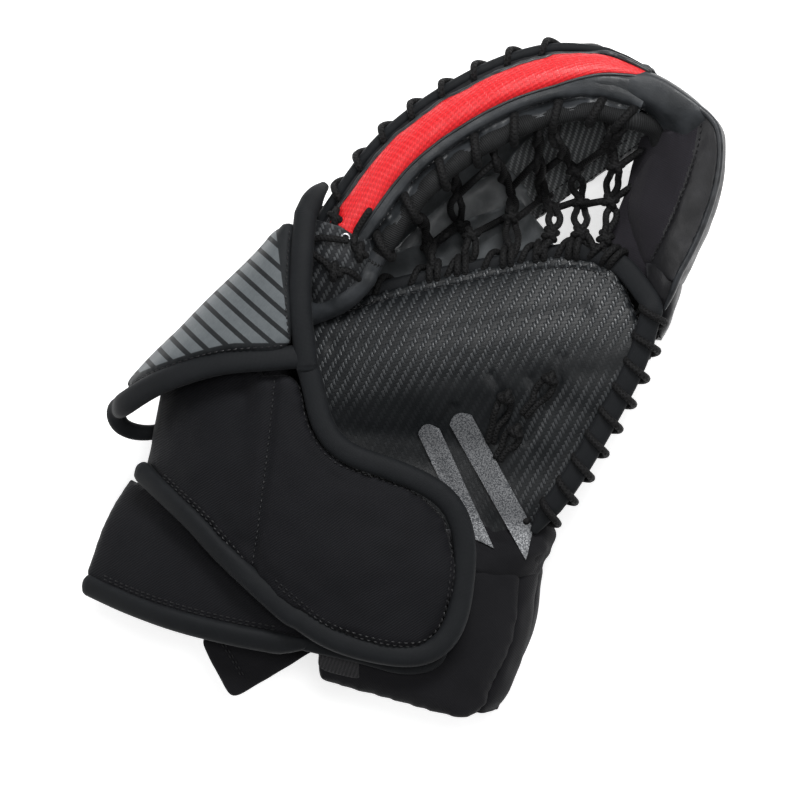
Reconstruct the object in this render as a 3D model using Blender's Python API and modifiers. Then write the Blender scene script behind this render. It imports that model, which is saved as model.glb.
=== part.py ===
"""Goalie catch glove for the left hand, lying on its back with the palm up.

Frame: metres, +Z up out of the palm, +Y towards the pocket, +X towards the finger tips.
The origin lies on the flat outer face of the finger guard, under the heel of the palm.
Every size below is in millimetres, and MM turns it into metres.
"""

import math

import bmesh
import bpy
from mathutils import Matrix, Vector

MM = 0.001

# ---- driving dimensions, mm ----
GAP = 0.6                   # clearance left between neighbouring pieces
LACE_R = 2.3                # skate lace of the pocket net
THIN_LACE_R = 1.7           # lace that whips the edges
SKIN_T = 2.4                # palm leather
PALM_PAD_T = 8.0            # foam behind the palm leather
LINER_T = 1.2               # lining cloth
GUARD_T = 13.0              # finger guard board
BOARD_T = 11.0              # thumb board
SPINE_T = 8.0               # pocket spine
CUFF_T = 8.0                # cuff board
FLAP_T = 8.0                # upper wrist wrap
LOWER_FLAP_T = 5.5          # lower wrist wrap
WRIST_PAD_T = 9.0           # wrist back pad
BINDING_R = 5.0             # edge binding of cuff and wraps
SIDE_BINDING_R = 3.6        # edge binding of palm and thumb
ROLL_R = 5.0                # rolled edges that carry the net

# ---- joints: a point on each axis and its direction ----
CLOSE_AT, CLOSE_DIR = (-40, 28, 30), (190, 150, 86)
WRIST_AT, WRIST_DIR = (0, -75, 10), (0.87, -0.50, 0)
UPPER_AT, UPPER_DIR = (-80, -50, 101), (-0.10, -0.995, 0)
LOWER_AT, LOWER_DIR = (-64, -120, 86), (-0.10, -0.995, 0)
BACKHAND_AT, BACKHAND_DIR = (43, -86, 5), (-0.52, -0.854, 0)

# ---- thumb band: crest of the band from its base at the cuff to the rim's corner ----
THUMB_CREST = [(-44, 72, 88), (-32, 92, 94), (-19, 111, 99), (-4, 131, 102), (13, 147, 104), (35, 162, 106),
               (60, 175, 107), (87, 183, 108), (115, 185, 109), (143, 177, 110)]
THUMB_OUT = 9.4             # board reaches this far outward of the crest
THUMB_IN = 14.0             # and this far inward
STRIPE_HALF = 7.4
THUMB_ROLL_AT = (-21.5, -8)     # sideways and upward from the crest
THUMB_BINDING_AT = (17.0, -14)

COLOURS = {
    "carbon_leather": ((0.030, 0.032, 0.034), 0.42),
    "red_leather": ((0.72, 0.02, 0.03), 0.35),
    "black_nylon": ((0.016, 0.016, 0.018), 0.75),
    "binding_tape": ((0.012, 0.012, 0.014), 0.65),
    "foam": ((0.05, 0.05, 0.05), 0.9),
    "lining": ((0.06, 0.06, 0.065), 0.9),
    "lace": ((0.012, 0.012, 0.012), 0.8),
    "cuff_print": ((0.11, 0.12, 0.13), 0.5),
    "reflective": ((0.24, 0.25, 0.26), 0.45),
    "webbing": ((0.015, 0.015, 0.016), 0.8),
    "hook_tape": ((0.02, 0.02, 0.02), 0.95),
    "plastic": ((0.02, 0.02, 0.02), 0.3),
}


# ---- scene helpers ----

def clear_scene():
    for obj in list(bpy.data.objects):
        bpy.data.objects.remove(obj)


def make_materials():
    for name, (colour, roughness) in COLOURS.items():
        material = bpy.data.materials.new(name)
        material.use_nodes = True
        shader = material.node_tree.nodes["Principled BSDF"]
        shader.inputs["Base Color"].default_value = (*colour, 1.0)
        shader.inputs["Roughness"].default_value = roughness
        shader.inputs["Metallic"].default_value = 0.0


def body(name, at=(0, 0, 0)):
    """An empty on a joint's axis that carries every piece of one moving body."""
    empty = bpy.data.objects.new(name, None)
    empty.location = Vector(at) * MM
    glove.objects.link(empty)
    return empty


def add(name, data, material, parent):
    """Links a mesh or a curve made in the glove's frame, hung on its body's empty."""
    obj = bpy.data.objects.new(name, data)
    data.materials.append(bpy.data.materials[material])
    glove.objects.link(obj)
    obj.parent = parent
    obj.matrix_parent_inverse = Matrix.Translation(-parent.location)
    return obj


def solidify(obj, thickness):
    modifier = obj.modifiers.new("thickness", "SOLIDIFY")
    modifier.thickness = thickness * MM
    modifier.offset = -1
    modifier.use_even_offset = True


# ---- smooth curves and surfaces through a few points ----

def smooth(points, t):
    """The point at t, from 0 to 1, on the Catmull-Rom curve through the points."""
    points = [Vector(p) for p in points]
    ends = [2 * points[0] - points[1]] + points + [2 * points[-1] - points[-2]]
    place = min(max(t, 0.0), 1.0) * (len(points) - 1)
    i = min(int(place), len(points) - 2)
    f = place - i
    a, b, c, d = ends[i:i + 4]
    return 0.5 * (2 * b + (c - a) * f + (2 * a - 5 * b + 4 * c - d) * f ** 2 + (3 * b - a - 3 * c + d) * f ** 3)


def samples(points, count):
    return [smooth(points, i / (count - 1)) for i in range(count)]


def on_net(net, u, v, depth=0.0):
    """The point of the smooth surface through a net of points, sunk into it by depth: u runs along each row."""
    here = smooth([smooth(row, u) for row in net], v)
    if not depth:
        return here
    step = 0.02
    along = on_net(net, min(u + step, 1), v) - on_net(net, max(u - step, 0), v)
    across = on_net(net, u, min(v + step, 1)) - on_net(net, u, max(v - step, 0))
    return here - depth * along.cross(across).normalized()


def grid_mesh(columns, rows, place, wrap=False):
    """A grid whose point at (u, v) is moved to place(u, v). With wrap, its first and last columns are joined."""
    bm = bmesh.new()
    bmesh.ops.create_grid(bm, x_segments=columns, y_segments=rows, size=0.5)
    for vertex in bm.verts:
        vertex.co = place(vertex.co.x + 0.5, vertex.co.y + 0.5) * MM
    if wrap:
        bmesh.ops.remove_doubles(bm, verts=bm.verts, dist=0.01 * MM)
    return bm


def mesh_of(bm, name):
    mesh = bpy.data.meshes.new(name)
    bm.to_mesh(mesh)
    bm.free()
    mesh.shade_smooth()
    mesh.set_sharp_from_angle(angle=math.radians(40))
    return mesh


def sheet(name, net, thickness, material, parent, columns=12, rows=10, depth=0.0):
    """A curved panel: its face runs depth under the net, and its thickness lies behind that face."""
    bm = grid_mesh(columns, rows, lambda u, v: on_net(net, u, v, depth))
    obj = add(name, mesh_of(bm, name), material, parent)
    solidify(obj, thickness)
    return obj


def loft(name, sections, material, parent, around=12, along=12):
    """A closed pad through cross-sections, each a closed loop of points."""
    loops = [list(section) + [section[0]] for section in sections]

    def place(u, v):
        return smooth([closed_point(loop, u) for loop in loops], v)

    bm = grid_mesh(around, along, place, wrap=True)
    bmesh.ops.holes_fill(bm, edges=bm.edges, sides=0)
    bmesh.ops.recalc_face_normals(bm, faces=bm.faces)
    return add(name, mesh_of(bm, name), material, parent)


def closed_point(loop, u):
    """The point at u on the smooth closed curve through a loop whose last point repeats its first."""
    points = [Vector(p) for p in loop[:-1]]
    n = len(points)
    place = (u % 1.0) * n
    i = int(place) % n
    f = place - int(place)
    a, b, c, d = (points[(i + k) % n] for k in (-1, 0, 1, 2))
    return 0.5 * (2 * b + (c - a) * f + (2 * a - 5 * b + 4 * c - d) * f ** 2 + (3 * b - a - 3 * c + d) * f ** 3)


def stall(name, path, radius, parent, wall=LINER_T, around=12, along=8):
    """A hollow finger or thumb stall, open at the path's start and domed at its end."""
    frames = frames_along(samples(path, 24))

    def place(u, v):
        centre, side, up = frames[round(v * (len(frames) - 1))]
        dome = math.sqrt(max(0.0, 1 - max(0.0, (v - 0.8) / 0.2) ** 2))
        angle = 2 * math.pi * u
        return centre + radius * dome * (math.cos(angle) * side + math.sin(angle) * up)

    bm = grid_mesh(around, along, place, wrap=True)
    bmesh.ops.recalc_face_normals(bm, faces=bm.faces)
    obj = add(name, mesh_of(bm, name), "lining", parent)
    solidify(obj, wall)
    return obj


def tube(name, points, radius, material, parent, count=20, smooth_path=True, resolution=1):
    """A round tube or lace along the points, with closed ends."""
    path = samples(points, count) if smooth_path else [Vector(p) for p in points]
    curve = bpy.data.curves.new(name, "CURVE")
    curve.dimensions = "3D"
    curve.bevel_depth = radius * MM
    curve.bevel_resolution = resolution
    curve.use_fill_caps = True
    spline = curve.splines.new("POLY")
    spline.points.add(len(path) - 1)
    for point, place in zip(spline.points, path):
        point.co = (*(place * MM), 1.0)
    return add(name, curve, material, parent)


def frames_along(path):
    """For each point of a path: the point, the sideways direction to its left, and the direction up from both."""
    frames = []
    for i, centre in enumerate(path):
        ahead = (path[min(i + 1, len(path) - 1)] - path[max(i - 1, 0)]).normalized()
        side = Vector((0, 0, 1)).cross(ahead).normalized()
        frames.append((centre, side, ahead.cross(side)))
    return frames


def beside(points, sideways, lift, count=20):
    """The path moved to its left and up by the given distances."""
    return [centre + sideways * side + Vector((0, 0, lift)) for centre, side, _ in frames_along(samples(points, count))]


def coil(points, radius, turns, per_turn=8, start=0.0, end=1.0):
    """Points of a lace whipped round a path."""
    steps = turns * per_turn
    path = [smooth(points, start + (end - start) * i / steps) for i in range(steps + 1)]
    made = []
    for i, (centre, side, up) in enumerate(frames_along(path)):
        angle = 2 * math.pi * i / per_turn
        made.append(centre + radius * (math.cos(angle) * side + math.sin(angle) * up))
    return made


# ---- hand: the palm, the finger half of the rim and the finger guard ----

PALM = [
    [(-32, -52, 72), (4, -74, 67), (34, -88, 64), (54, -89, 64), (67, -78, 68)],
    [(-41, -22, 72), (8, -28, 64), (48, -34, 66), (80, -38, 72), (96, -32, 79)],
    [(-47, 4, 76), (10, 6, 80), (60, 6, 82), (98, 8, 85), (120, 8, 87)],
    [(-51, 26, 74), (5, 34, 83), (60, 42, 87), (104, 44, 89), (130, 38, 90)],
    [(-53, 45, 64), (-10, 57, 64), (38, 68, 68), (86, 75, 74), (119, 70, 82)],
]
PALM_TOP_EDGE = [(-46, 53, 60), (-12, 65, 61), (40, 77, 65), (86, 85, 71), (112, 86, 77), (132, 75, 84)]
PALM_SIDE_EDGE = [(146, 56, 95), (137, 23, 90), (120, -11, 84), (101, -44, 78), (88, -62, 73), (76, -77, 69)]
SIDE_TURNS = 9


def build_palm(hand):
    sheet("palm_skin", PALM, SKIN_T, "carbon_leather", hand)
    pad_depth = SKIN_T + 2 * GAP
    sheet("palm_pad", PALM, PALM_PAD_T, "foam", hand, 12, 10, pad_depth)
    sheet("palm_liner", PALM, LINER_T, "lining", hand, 12, 10, pad_depth + PALM_PAD_T + 2 * GAP)
    tube("palm_top_roll", PALM_TOP_EDGE, ROLL_R - 0.8, "binding_tape", hand)
    tube("palm_side_binding", PALM_SIDE_EDGE, SIDE_BINDING_R, "binding_tape", hand)
    lace = coil(PALM_SIDE_EDGE, SIDE_BINDING_R + THIN_LACE_R + GAP, SIDE_TURNS, start=0.03, end=0.97)
    tube("palm_side_lace", lace, THIN_LACE_R, "lace", hand, smooth_path=False, resolution=0)
    gusset = [
        [(72, -66, 16), (91, -40, 16), (108, -12, 16), (124, 16, 16), (137, 40, 16)],
        [(79, -70, 38), (99, -44, 40), (116, -14, 42), (131, 18, 44), (142, 44, 46)],
        [(78, -72, 56), (99, -44, 61), (117, -13, 66), (133, 18, 71), (143, 45, 74)],
    ]
    sheet("pinky_gusset", gusset, 3.0, "black_nylon", hand, 12, 6)
    wall = [
        [(-12, 38, 16), (24, 47, 16), (66, 57, 16), (110, 56, 16), (134, 46, 16)],
        [(-17, 46, 36), (26, 59, 38), (72, 73, 38), (112, 72, 40), (140, 58, 42)],
        [(-20, 51, 50), (30, 66, 52), (78, 76, 57), (112, 75, 62), (138, 63, 68)],
    ]
    sheet("pocket_gusset", [list(reversed(row)) for row in wall], 2.5, "black_nylon", hand, 12, 6)


def over_palm(x, y, lift):
    """The point of the palm's face over (x, y), raised by lift."""
    u = v = 0.5
    for _ in range(30):
        here = on_net(PALM, u, v)
        u = min(max(u + (x - here.x) / 170, 0.0), 1.0)
        v = min(max(v + (y - here.y) / 130, 0.0), 1.0)
    return Vector((x, y, on_net(PALM, u, v).z + lift))


def build_palm_trim(hand):
    strips = {
        "reflective_strip_inner": [(17, -17), (29, -37), (40, -60), (50, -84)],
        "reflective_strip_outer": [(35, -8), (48, -34), (60, -60), (68, -84)],
    }
    half_width = 5.2
    for name, line in strips.items():
        ahead = (Vector(line[-1]) - Vector(line[0])).normalized()
        left, right = Vector((-ahead.y, ahead.x)) * half_width, Vector((ahead.y, -ahead.x)) * half_width
        net = [[over_palm(x + s.x, y + s.y, 3.0) for x, y in line] for s in (right, left)]
        sheet(name, net, 1.0, "reflective", hand, 8, 2)
    cinch = [(55, -25), (53, -12), (58, 2), (67, -3), (72, -14)]
    tube("palm_cinch_lace", [over_palm(x, y, 3.2) for x, y in cinch], THIN_LACE_R, "lace", hand, 24, resolution=0)


GUARD_NET = [
    [(-38, -4, 13), (-8, -24, 13), (22, -43, 13), (52, -60, 13)],
    [(-30, 22, 13), (10, 0, 13), (50, -20, 13), (88, -38, 13)],
    [(-18, 46, 13), (30, 36, 13), (78, 18, 13), (116, 2, 13)],
    [(2, 60, 13), (46, 68, 13), (96, 66, 13), (136, 44, 13)],
]
HAND_AHEAD = Vector((0.72, 0.69, 0))
HAND_ACROSS = Vector((0.69, -0.72, 0))
KNUCKLES = Vector((4, -34, 32))
STALL_R = 10.6
FINGERS = {"index_stall": (-34, 88), "middle_stall": (-11, 98), "ring_stall": (12, 92), "little_stall": (35, 74)}


def build_fingers(hand):
    sheet("finger_guard", GUARD_NET, GUARD_T, "carbon_leather", hand)
    for name, (across, length) in FINGERS.items():
        start = KNUCKLES + across * HAND_ACROSS
        stall(name, [start, start + length * HAND_AHEAD], STALL_R, hand)


# The rim on the finger side is a wedge pad. Each section runs: ridge, outer face, outer foot, underside, inner edge.
RIM_SECTIONS = [
    [(163, 168, 114), (169, 168, 100), (167, 164, 72), (159, 158, 66), (147, 154, 79), (150, 159, 104)],
    [(176, 156, 116), (182, 154, 98), (177, 150, 62), (164, 148, 54), (142, 147, 75), (157, 151, 104)],
    [(179, 140, 117), (184, 138, 96), (178, 136, 56), (162, 134, 48), (137, 134, 72), (156, 138, 104)],
    [(176, 118, 116), (181, 116, 94), (174, 116, 52), (158, 118, 46), (133, 122, 70), (153, 119, 102)],
    [(167, 92, 111), (172, 90, 90), (165, 94, 52), (151, 98, 48), (131, 105, 72), (147, 98, 98)],
    [(154, 66, 103), (159, 64, 88), (155, 68, 60), (148, 72, 56), (138, 80, 74), (145, 73, 92)],
]
RIM_RIDGE_LIFT = 3.6
PIPING_R = 1.8


def build_rim(hand):
    loft("rim_pad", RIM_SECTIONS, "carbon_leather", hand)
    wall = [
        [(143, 52, 10), (152, 76, 10), (157, 102, 12), (160, 126, 17), (160, 146, 28)],
        [(150, 54, 32), (163, 79, 28), (170, 103, 29), (173, 127, 32), (172, 147, 42)],
        [(153, 58, 54), (163, 84, 46), (170, 106, 43), (174, 127, 43), (173, 147, 50)],
    ]
    sheet("finger_side_wall", wall, 4.0, "carbon_leather", hand, 12, 6)
    ridge = [Vector(section[0]) + Vector((1.0, 0, RIM_RIDGE_LIFT)) for section in RIM_SECTIONS]
    tube("rim_piping", ridge, PIPING_R, "binding_tape", hand, 16, resolution=0)


# ---- pocket: the net and the spine behind it ----

NET = [
    [(4, 76, 67), (22, 81, 68), (50, 88, 70), (84, 95, 75), (116, 97, 80)],
    [(0, 84, 56), (24, 98, 44), (52, 112, 39), (90, 124, 46), (124, 123, 70)],
    [(-2, 89, 82), (15, 110, 88), (42, 134, 92), (82, 154, 95), (125, 150, 98)],
]
NET_CELLS = 9
NET_SPINE_SLOPE = 0.55


def build_net(hand):
    """A diamond lattice: a grid turned by 45 degrees, cropped to the pocket and hung between its edges."""
    bm = bmesh.new()
    bmesh.ops.create_grid(bm, x_segments=NET_CELLS, y_segments=NET_CELLS, size=1.0)
    bmesh.ops.rotate(bm, verts=bm.verts, matrix=Matrix.Rotation(math.radians(45), 3, "Z"))
    for side in (Vector((1, 0, 0)), Vector((-1, 0, 0)), Vector((0, 1, 0)), Vector((0, -1, 0))):
        whole = bm.verts[:] + bm.edges[:] + bm.faces[:]
        bmesh.ops.bisect_plane(bm, geom=whole, plane_co=side * 0.5, plane_no=side, clear_outer=True)
    for vertex in bm.verts:
        vertex.co = on_net(NET, vertex.co.x + 0.5, vertex.co.y + 0.5) * MM
    obj = add("pocket_net", mesh_of(bm, "pocket_net"), "lace", hand)
    wires = obj.modifiers.new("wires", "WIREFRAME")
    wires.thickness = 2 * LACE_R * MM
    wires.use_boundary = True
    wires.use_even_offset = False


SPINE_LINE = [(134, 168, 66), (116, 156, 46), (96, 143, 28), (73, 127, 16), (48, 107, 13), (26, 88, 17), (9, 72, 24)]
SPINE_HALF = 20.0
SPINE_CUP = 3.0


def build_spine(spine):
    rows = [[Vector(p) for p in beside(SPINE_LINE, offset, lift, 8)]
            for offset, lift in ((-SPINE_HALF, SPINE_CUP), (0, 0), (SPINE_HALF, SPINE_CUP))]
    rows = [list(reversed(row)) for row in rows]
    sheet("pocket_spine", list(reversed(rows)), SPINE_T, "carbon_leather", spine, 14, 6)
    base = [
        [(14, 62, 32), (36, 76, 27), (58, 90, 26), (70, 100, 28)],
        [(6, 76, 30), (28, 92, 24), (52, 108, 23), (76, 116, 26)],
        [(0, 88, 32), (18, 108, 27), (42, 126, 26), (64, 134, 28)],
    ]
    sheet("spine_base_pad", base, 5.0, "carbon_leather", spine, 8, 6)


# ---- thumb: the board with the red stripe and the guard behind it ----

def thumb_net(offsets):
    """Rows of points along the thumb band at (sideways, lift) offsets from its crest."""
    return [[Vector(p) for p in beside(THUMB_CREST, sideways, lift, 10)] for sideways, lift in offsets]


def build_thumb(thumb, hand):
    across = [(-THUMB_IN, -5), (-8, -1.6), (0, 0), (5, -2), (THUMB_OUT, -6)]
    sheet("thumb_board", thumb_net(across), BOARD_T, "carbon_leather", thumb, 18, 6)
    stripe = [[], [], []]
    for k, (centre, side, _) in enumerate(frames_along(samples(THUMB_CREST, 10))[1:]):
        half = STRIPE_HALF * min(1.0, (8.6 - k) / 3.0)
        middle = centre + Vector((0, 0, 2.2)) + side * (0.5 if k < 6 else 0.5 + 0.8 * (k - 6))
        for row, offset, drop in ((0, -half, 1.6), (1, 0, 0), (2, half, 3.0)):
            stripe[row].append(middle + offset * side - Vector((0, 0, drop * half / STRIPE_HALF)))
    sheet("thumb_stripe", stripe, 1.2, "red_leather", thumb, 18, 4)
    tube("thumb_inner_roll", beside(THUMB_CREST, *THUMB_ROLL_AT)[1:], ROLL_R, "binding_tape", thumb)
    binding = beside(THUMB_CREST, *THUMB_BINDING_AT)[1:]
    tube("thumb_outer_binding", binding, SIDE_BINDING_R - 0.8, "binding_tape", thumb)
    lace = coil(binding, SIDE_BINDING_R - 0.8 + THIN_LACE_R + GAP, 8, start=0.02, end=0.92)
    tube("thumb_outer_lace", lace, THIN_LACE_R, "lace", thumb, smooth_path=False, resolution=0)
    guard = thumb_net([(-4, -64), (7, -61), (14, -46), (13, -26)])
    sheet("thumb_guard", [row[:-1] for row in guard], 4.0, "carbon_leather", thumb, 16, 8)
    stall("thumb_stall", [p + Vector((3, -2, -36)) for p in samples(THUMB_CREST[1:6], 6)], 10.8, thumb)
    web = [
        [(-54, 46, 72), (-42, 51, 69), (-28, 56, 69)],
        [(-56, 57, 77), (-44, 59, 75), (-31, 60, 73)],
        [(-57, 68, 81), (-47, 66, 82), (-37, 61, 80)],
    ]
    sheet("thumb_web", web, 2.0, "carbon_leather", hand, 6, 5)
    tie = [(-34, 74, 95), (-41, 82, 95), (-36, 90, 99), (-27, 88, 100), (-24, 80, 97), (-30, 74, 96)]
    tube("thumb_tie_lace", tie, THIN_LACE_R, "lace", thumb, 18, resolution=0)


# ---- wrist: back pad, side pad, cuff board and the fixed parts of the wraps ----

BACK_PAD = [
    [(-104, -110, 9.8), (-55, -136, 9.8), (5, -156, 9.8), (36, -165, 11), (47, -169, 24), (48, -171, 40), (46, -172, 52)],
    [(-116, -84, 9.8), (-58, -104, 9.8), (6, -122, 9.8), (50, -130, 11), (65, -133, 24), (66, -134, 40), (64, -134, 52)],
    [(-112, -54, 9.8), (-66, -66, 9.8), (0, -100, 9.8), (50, -106, 11), (71, -98, 24), (73, -94, 40), (71, -93, 52)],
]
SIDE_PAD = [
    [(-46, -154, 72), (-8, -165, 74), (28, -175, 74), (46, -175, 69)],
    [(-44, -134, 74), (0, -138, 76), (40, -140, 76), (64, -138, 70)],
    [(-22, -104, 74), (15, -101, 76), (45, -97, 76), (69, -97, 70)],
]
WRAP_BASE = [
    [(-138, -46, 30), (-145, -38, 58), (-128, -53, 80), (-109, -71, 92), (-88, -96, 96)],
    [(-136, -32, 30), (-141, -24, 60), (-121, -31, 84), (-100, -41, 95), (-80.5, -52, 99)],
    [(-132, -16, 30), (-136, -8, 58), (-117, 0, 82), (-96, 4, 93), (-76, 6, 98)],
]
LOWER_BASE = [
    [(-160, -99, 20), (-182, -101, 42), (-164, -110, 58), (-132, -121, 74), (-94, -130, 82), (-66, -133.5, 84)],
    [(-152, -70, 20), (-171, -71, 44), (-155, -77, 58), (-125, -88, 72), (-92, -106, 81), (-66, -117, 84)],
    [(-142, -52, 16), (-157, -46, 34), (-143, -52, 50), (-119, -68, 68), (-90, -93, 79), (-66, -100, 83)],
]
CUFF_BOARD = [
    [(-64, 101, 98), (-63, 72, 104), (-64, 30, 108), (-100, 29, 105), (-137, 19, 92), (-154, 8, 76)],
    [(-67, 100, 92), (-77, 77, 99), (-88, 54, 102), (-110, 40, 97), (-136, 26, 84), (-156, 9, 66)],
    [(-70, 96, 76), (-86, 79, 78), (-105, 61, 78), (-125, 41, 74), (-142, 25, 66), (-157, 10, 52)],
    [(-66, 94, 44), (-82, 76, 40), (-100, 56, 38), (-119, 36, 38), (-136, 18, 38), (-149, 4, 38)],
]
CUFF_SIDE_EDGE = [(-53, 108, 92), (-55, 84, 100), (-56, 54, 104), (-53, 26, 104)]
CUFF_LOWER_EDGE = [(-66, 21, 104), (-89, 19.5, 102), (-117, 15, 97), (-143, 4, 86), (-159, -6, 70), (-161, -8, 50)]
WRAP_BASE_EDGE = [(-92.5, -101, 91), (-113.5, -75.5, 86), (-132.5, -57.5, 75), (-150, -42, 59)]
LOWER_BASE_EDGE = [(-182, -108.5, 44), (-157, -119, 59), (-127, -129, 73), (-93, -137, 80), (-67, -141.5, 82)]


def build_wrist(wrist):
    sheet("wrist_back_pad", BACK_PAD, WRIST_PAD_T, "black_nylon", wrist, 14, 8)
    sheet("wrist_side_pad", SIDE_PAD, 11.0, "black_nylon", wrist, 10, 8)
    sheet("wrap_base", WRAP_BASE, FLAP_T, "black_nylon", wrist, 12, 8)
    sheet("lower_wrap_base", LOWER_BASE, LOWER_FLAP_T, "black_nylon", wrist, 12, 8)
    sheet("cuff_board", list(reversed(CUFF_BOARD)), CUFF_T, "cuff_print", wrist, 16, 10)
    tube("cuff_side_binding", CUFF_SIDE_EDGE, BINDING_R, "binding_tape", wrist, 10)
    tube("cuff_lower_binding", CUFF_LOWER_EDGE, BINDING_R, "binding_tape", wrist, 14)
    tube("wrap_base_binding", WRAP_BASE_EDGE, 4.0, "binding_tape", wrist, 14)
    tube("lower_base_binding", LOWER_BASE_EDGE, 4.0, "binding_tape", wrist, 10)
    webbing = [[(-48, -154, 76.4), (-20, -161, 77)], [(-44, -118, 77), (-12, -118, 78.4)]]
    sheet("webbing_strap", webbing, 1.4, "webbing", wrist, 2, 6)
    tail = [[(-97, -173, 60), (-68, -156, 60), (-40, -139, 58)], [(-116, -137, 64), (-86, -121, 64), (-56, -104, 60)]]
    sheet("strap_tail", tail, 2.5, "black_nylon", wrist, 6, 4)


# ---- the wraps that open ----

UPPER_FLAP = [
    [(-83, -97, 97), (-66, -112, 99), (-45, -127, 99), (-18, -137, 98), (9, -140, 96), (23, -130, 94)],
    [(-78, -45, 100), (-62, -55, 103), (-46, -75, 104), (-20, -89, 103), (9, -97, 101), (31, -98, 97)],
    [(-74, 8, 98), (-59, 4, 101), (-48, -22, 102), (-24, -40, 101), (6, -52, 99), (25, -69, 96)],
]
UPPER_EDGE = [(-47, 14, 101), (-44, -8, 101), (-33, -26, 101), (-13, -34, 100), (10, -43, 98), (29, -55, 96),
              (38, -74, 94), (39, -94, 93), (35, -123, 92), (26, -140, 92), (9, -148, 92), (-21, -144, 94),
              (-47, -134, 95), (-72, -114, 95), (-83, -105, 95)]
LOWER_FLAP = [
    [(-62, -134, 85), (-44, -138, 85), (-22, -142, 84), (2, -148, 84), (16, -144, 83)],
    [(-62, -117, 85), (-42, -119, 85), (-20, -124, 84), (4, -128, 84), (20, -128, 83)],
    [(-62, -100, 85), (-40, -102, 85), (-16, -106, 84), (4, -110, 84), (16, -114, 83)],
]
LOWER_EDGE = [(-61, -138.5, 81.5), (-44, -142.5, 81.5), (-22, -147.5, 81), (2, -153.5, 81), (20, -150, 80.5), (27, -136, 80.5)]


def build_wraps(upper, lower):
    sheet("upper_wrap_flap", UPPER_FLAP, FLAP_T, "black_nylon", upper, 14, 10)
    tube("upper_wrap_binding", UPPER_EDGE, BINDING_R, "binding_tape", upper, 40)
    hook_drop = FLAP_T + 1.2
    hook = [[(-14, -126, 0), (8, -126, 0)], [(-14, -70, 0), (8, -76, 0)]]
    hook = [[(x, y, 99 - hook_drop - 1.2) for x, y, _ in row] for row in hook]
    sheet("upper_hook_patch", hook, 1.2, "hook_tape", upper, 2, 4)
    sheet("lower_wrap_flap", LOWER_FLAP, LOWER_FLAP_T, "black_nylon", lower, 10, 6)
    tube("lower_flap_binding", LOWER_EDGE, 2.6, "binding_tape", lower, 14)


BACKHAND_LINE = [(-52, -27, 7), (-28, -42, 7), (0, -59, 7), (38, -82, 7)]
BACKHAND_HALF = 15.0


def build_backhand(hand, backhand):
    rows = [beside(BACKHAND_LINE, offset, 0, 6) for offset in (-BACKHAND_HALF, BACKHAND_HALF)]
    sheet("backhand_strap", rows, 4.0, "black_nylon", backhand, 8, 4)
    patch = [beside(BACKHAND_LINE[:3], offset, 3.0, 4) for offset in (-BACKHAND_HALF + 3, BACKHAND_HALF - 3)]
    sheet("backhand_hook_patch", [row[:2] for row in patch], 1.2, "hook_tape", backhand, 3, 2)


# ---- the whole glove ----

clear_scene()
make_materials()
glove = bpy.data.collections.new("goalie_catch_glove")
bpy.context.scene.collection.children.link(glove)

hand_body = body("hand_body")
thumb_body = body("thumb_body", CLOSE_AT)
spine_body = body("spine_body", CLOSE_AT)
wrist_body = body("wrist_body", WRIST_AT)
upper_body = body("upper_wrap_body", UPPER_AT)
lower_body = body("lower_wrap_body", LOWER_AT)
backhand_body = body("backhand_body", BACKHAND_AT)

build_palm(hand_body)
build_palm_trim(hand_body)
build_fingers(hand_body)
build_rim(hand_body)
build_net(hand_body)
build_spine(spine_body)
build_thumb(thumb_body, hand_body)
build_wrist(wrist_body)
build_wraps(upper_body, lower_body)
build_backhand(hand_body, backhand_body)
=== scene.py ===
"""Looks of the goalie catch glove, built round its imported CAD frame.

Lengths are in millimetres, in the frame's axes, until a mesh is made. The glove lies on its back: +Z comes
out of the palm, +Y points to the pocket and +X to the finger tips.
"""

import math

import bmesh
import bpy
import numpy as np
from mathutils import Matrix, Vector, noise
from mathutils.bvhtree import BVHTree
from mathutils.kdtree import KDTree


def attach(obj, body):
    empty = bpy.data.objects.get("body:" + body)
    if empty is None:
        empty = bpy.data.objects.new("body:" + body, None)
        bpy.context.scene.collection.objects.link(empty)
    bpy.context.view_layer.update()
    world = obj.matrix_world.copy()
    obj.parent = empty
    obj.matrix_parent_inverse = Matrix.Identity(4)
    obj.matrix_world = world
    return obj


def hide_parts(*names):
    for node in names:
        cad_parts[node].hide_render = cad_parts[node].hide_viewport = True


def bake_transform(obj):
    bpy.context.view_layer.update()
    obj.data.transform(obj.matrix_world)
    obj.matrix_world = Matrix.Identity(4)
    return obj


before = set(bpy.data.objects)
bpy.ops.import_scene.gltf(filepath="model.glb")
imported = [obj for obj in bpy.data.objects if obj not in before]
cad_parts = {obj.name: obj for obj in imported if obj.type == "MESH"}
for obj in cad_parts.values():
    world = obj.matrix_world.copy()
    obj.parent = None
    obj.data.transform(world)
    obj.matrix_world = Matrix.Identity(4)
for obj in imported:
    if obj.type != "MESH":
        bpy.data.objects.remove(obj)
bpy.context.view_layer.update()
scene = bpy.context.scene
MM = 0.001
UP = np.array((0.0, 0.0, 1.0))


# ---- materials ----

class Value:
    """A number or a colour that a shader node gives. Arithmetic on values adds math nodes."""

    def __init__(self, socket):
        self.socket = socket

    def math(self, operation, *others):
        node = self.socket.id_data.nodes.new("ShaderNodeMath")
        node.operation = operation
        for socket, value in zip(node.inputs, (self, *others)):
            connect(socket, value)
        return Value(node.outputs[0])

    def __add__(self, other):
        return self.math("ADD", other)

    def __sub__(self, other):
        return self.math("SUBTRACT", other)

    def __rsub__(self, other):
        return self * -1 + other

    def __mul__(self, other):
        return self.math("MULTIPLY", other)

    def __truediv__(self, other):
        return self.math("DIVIDE", other)

    def __pow__(self, other):
        return self.math("POWER", other)

    def __abs__(self):
        return self.math("ABSOLUTE")


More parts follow.
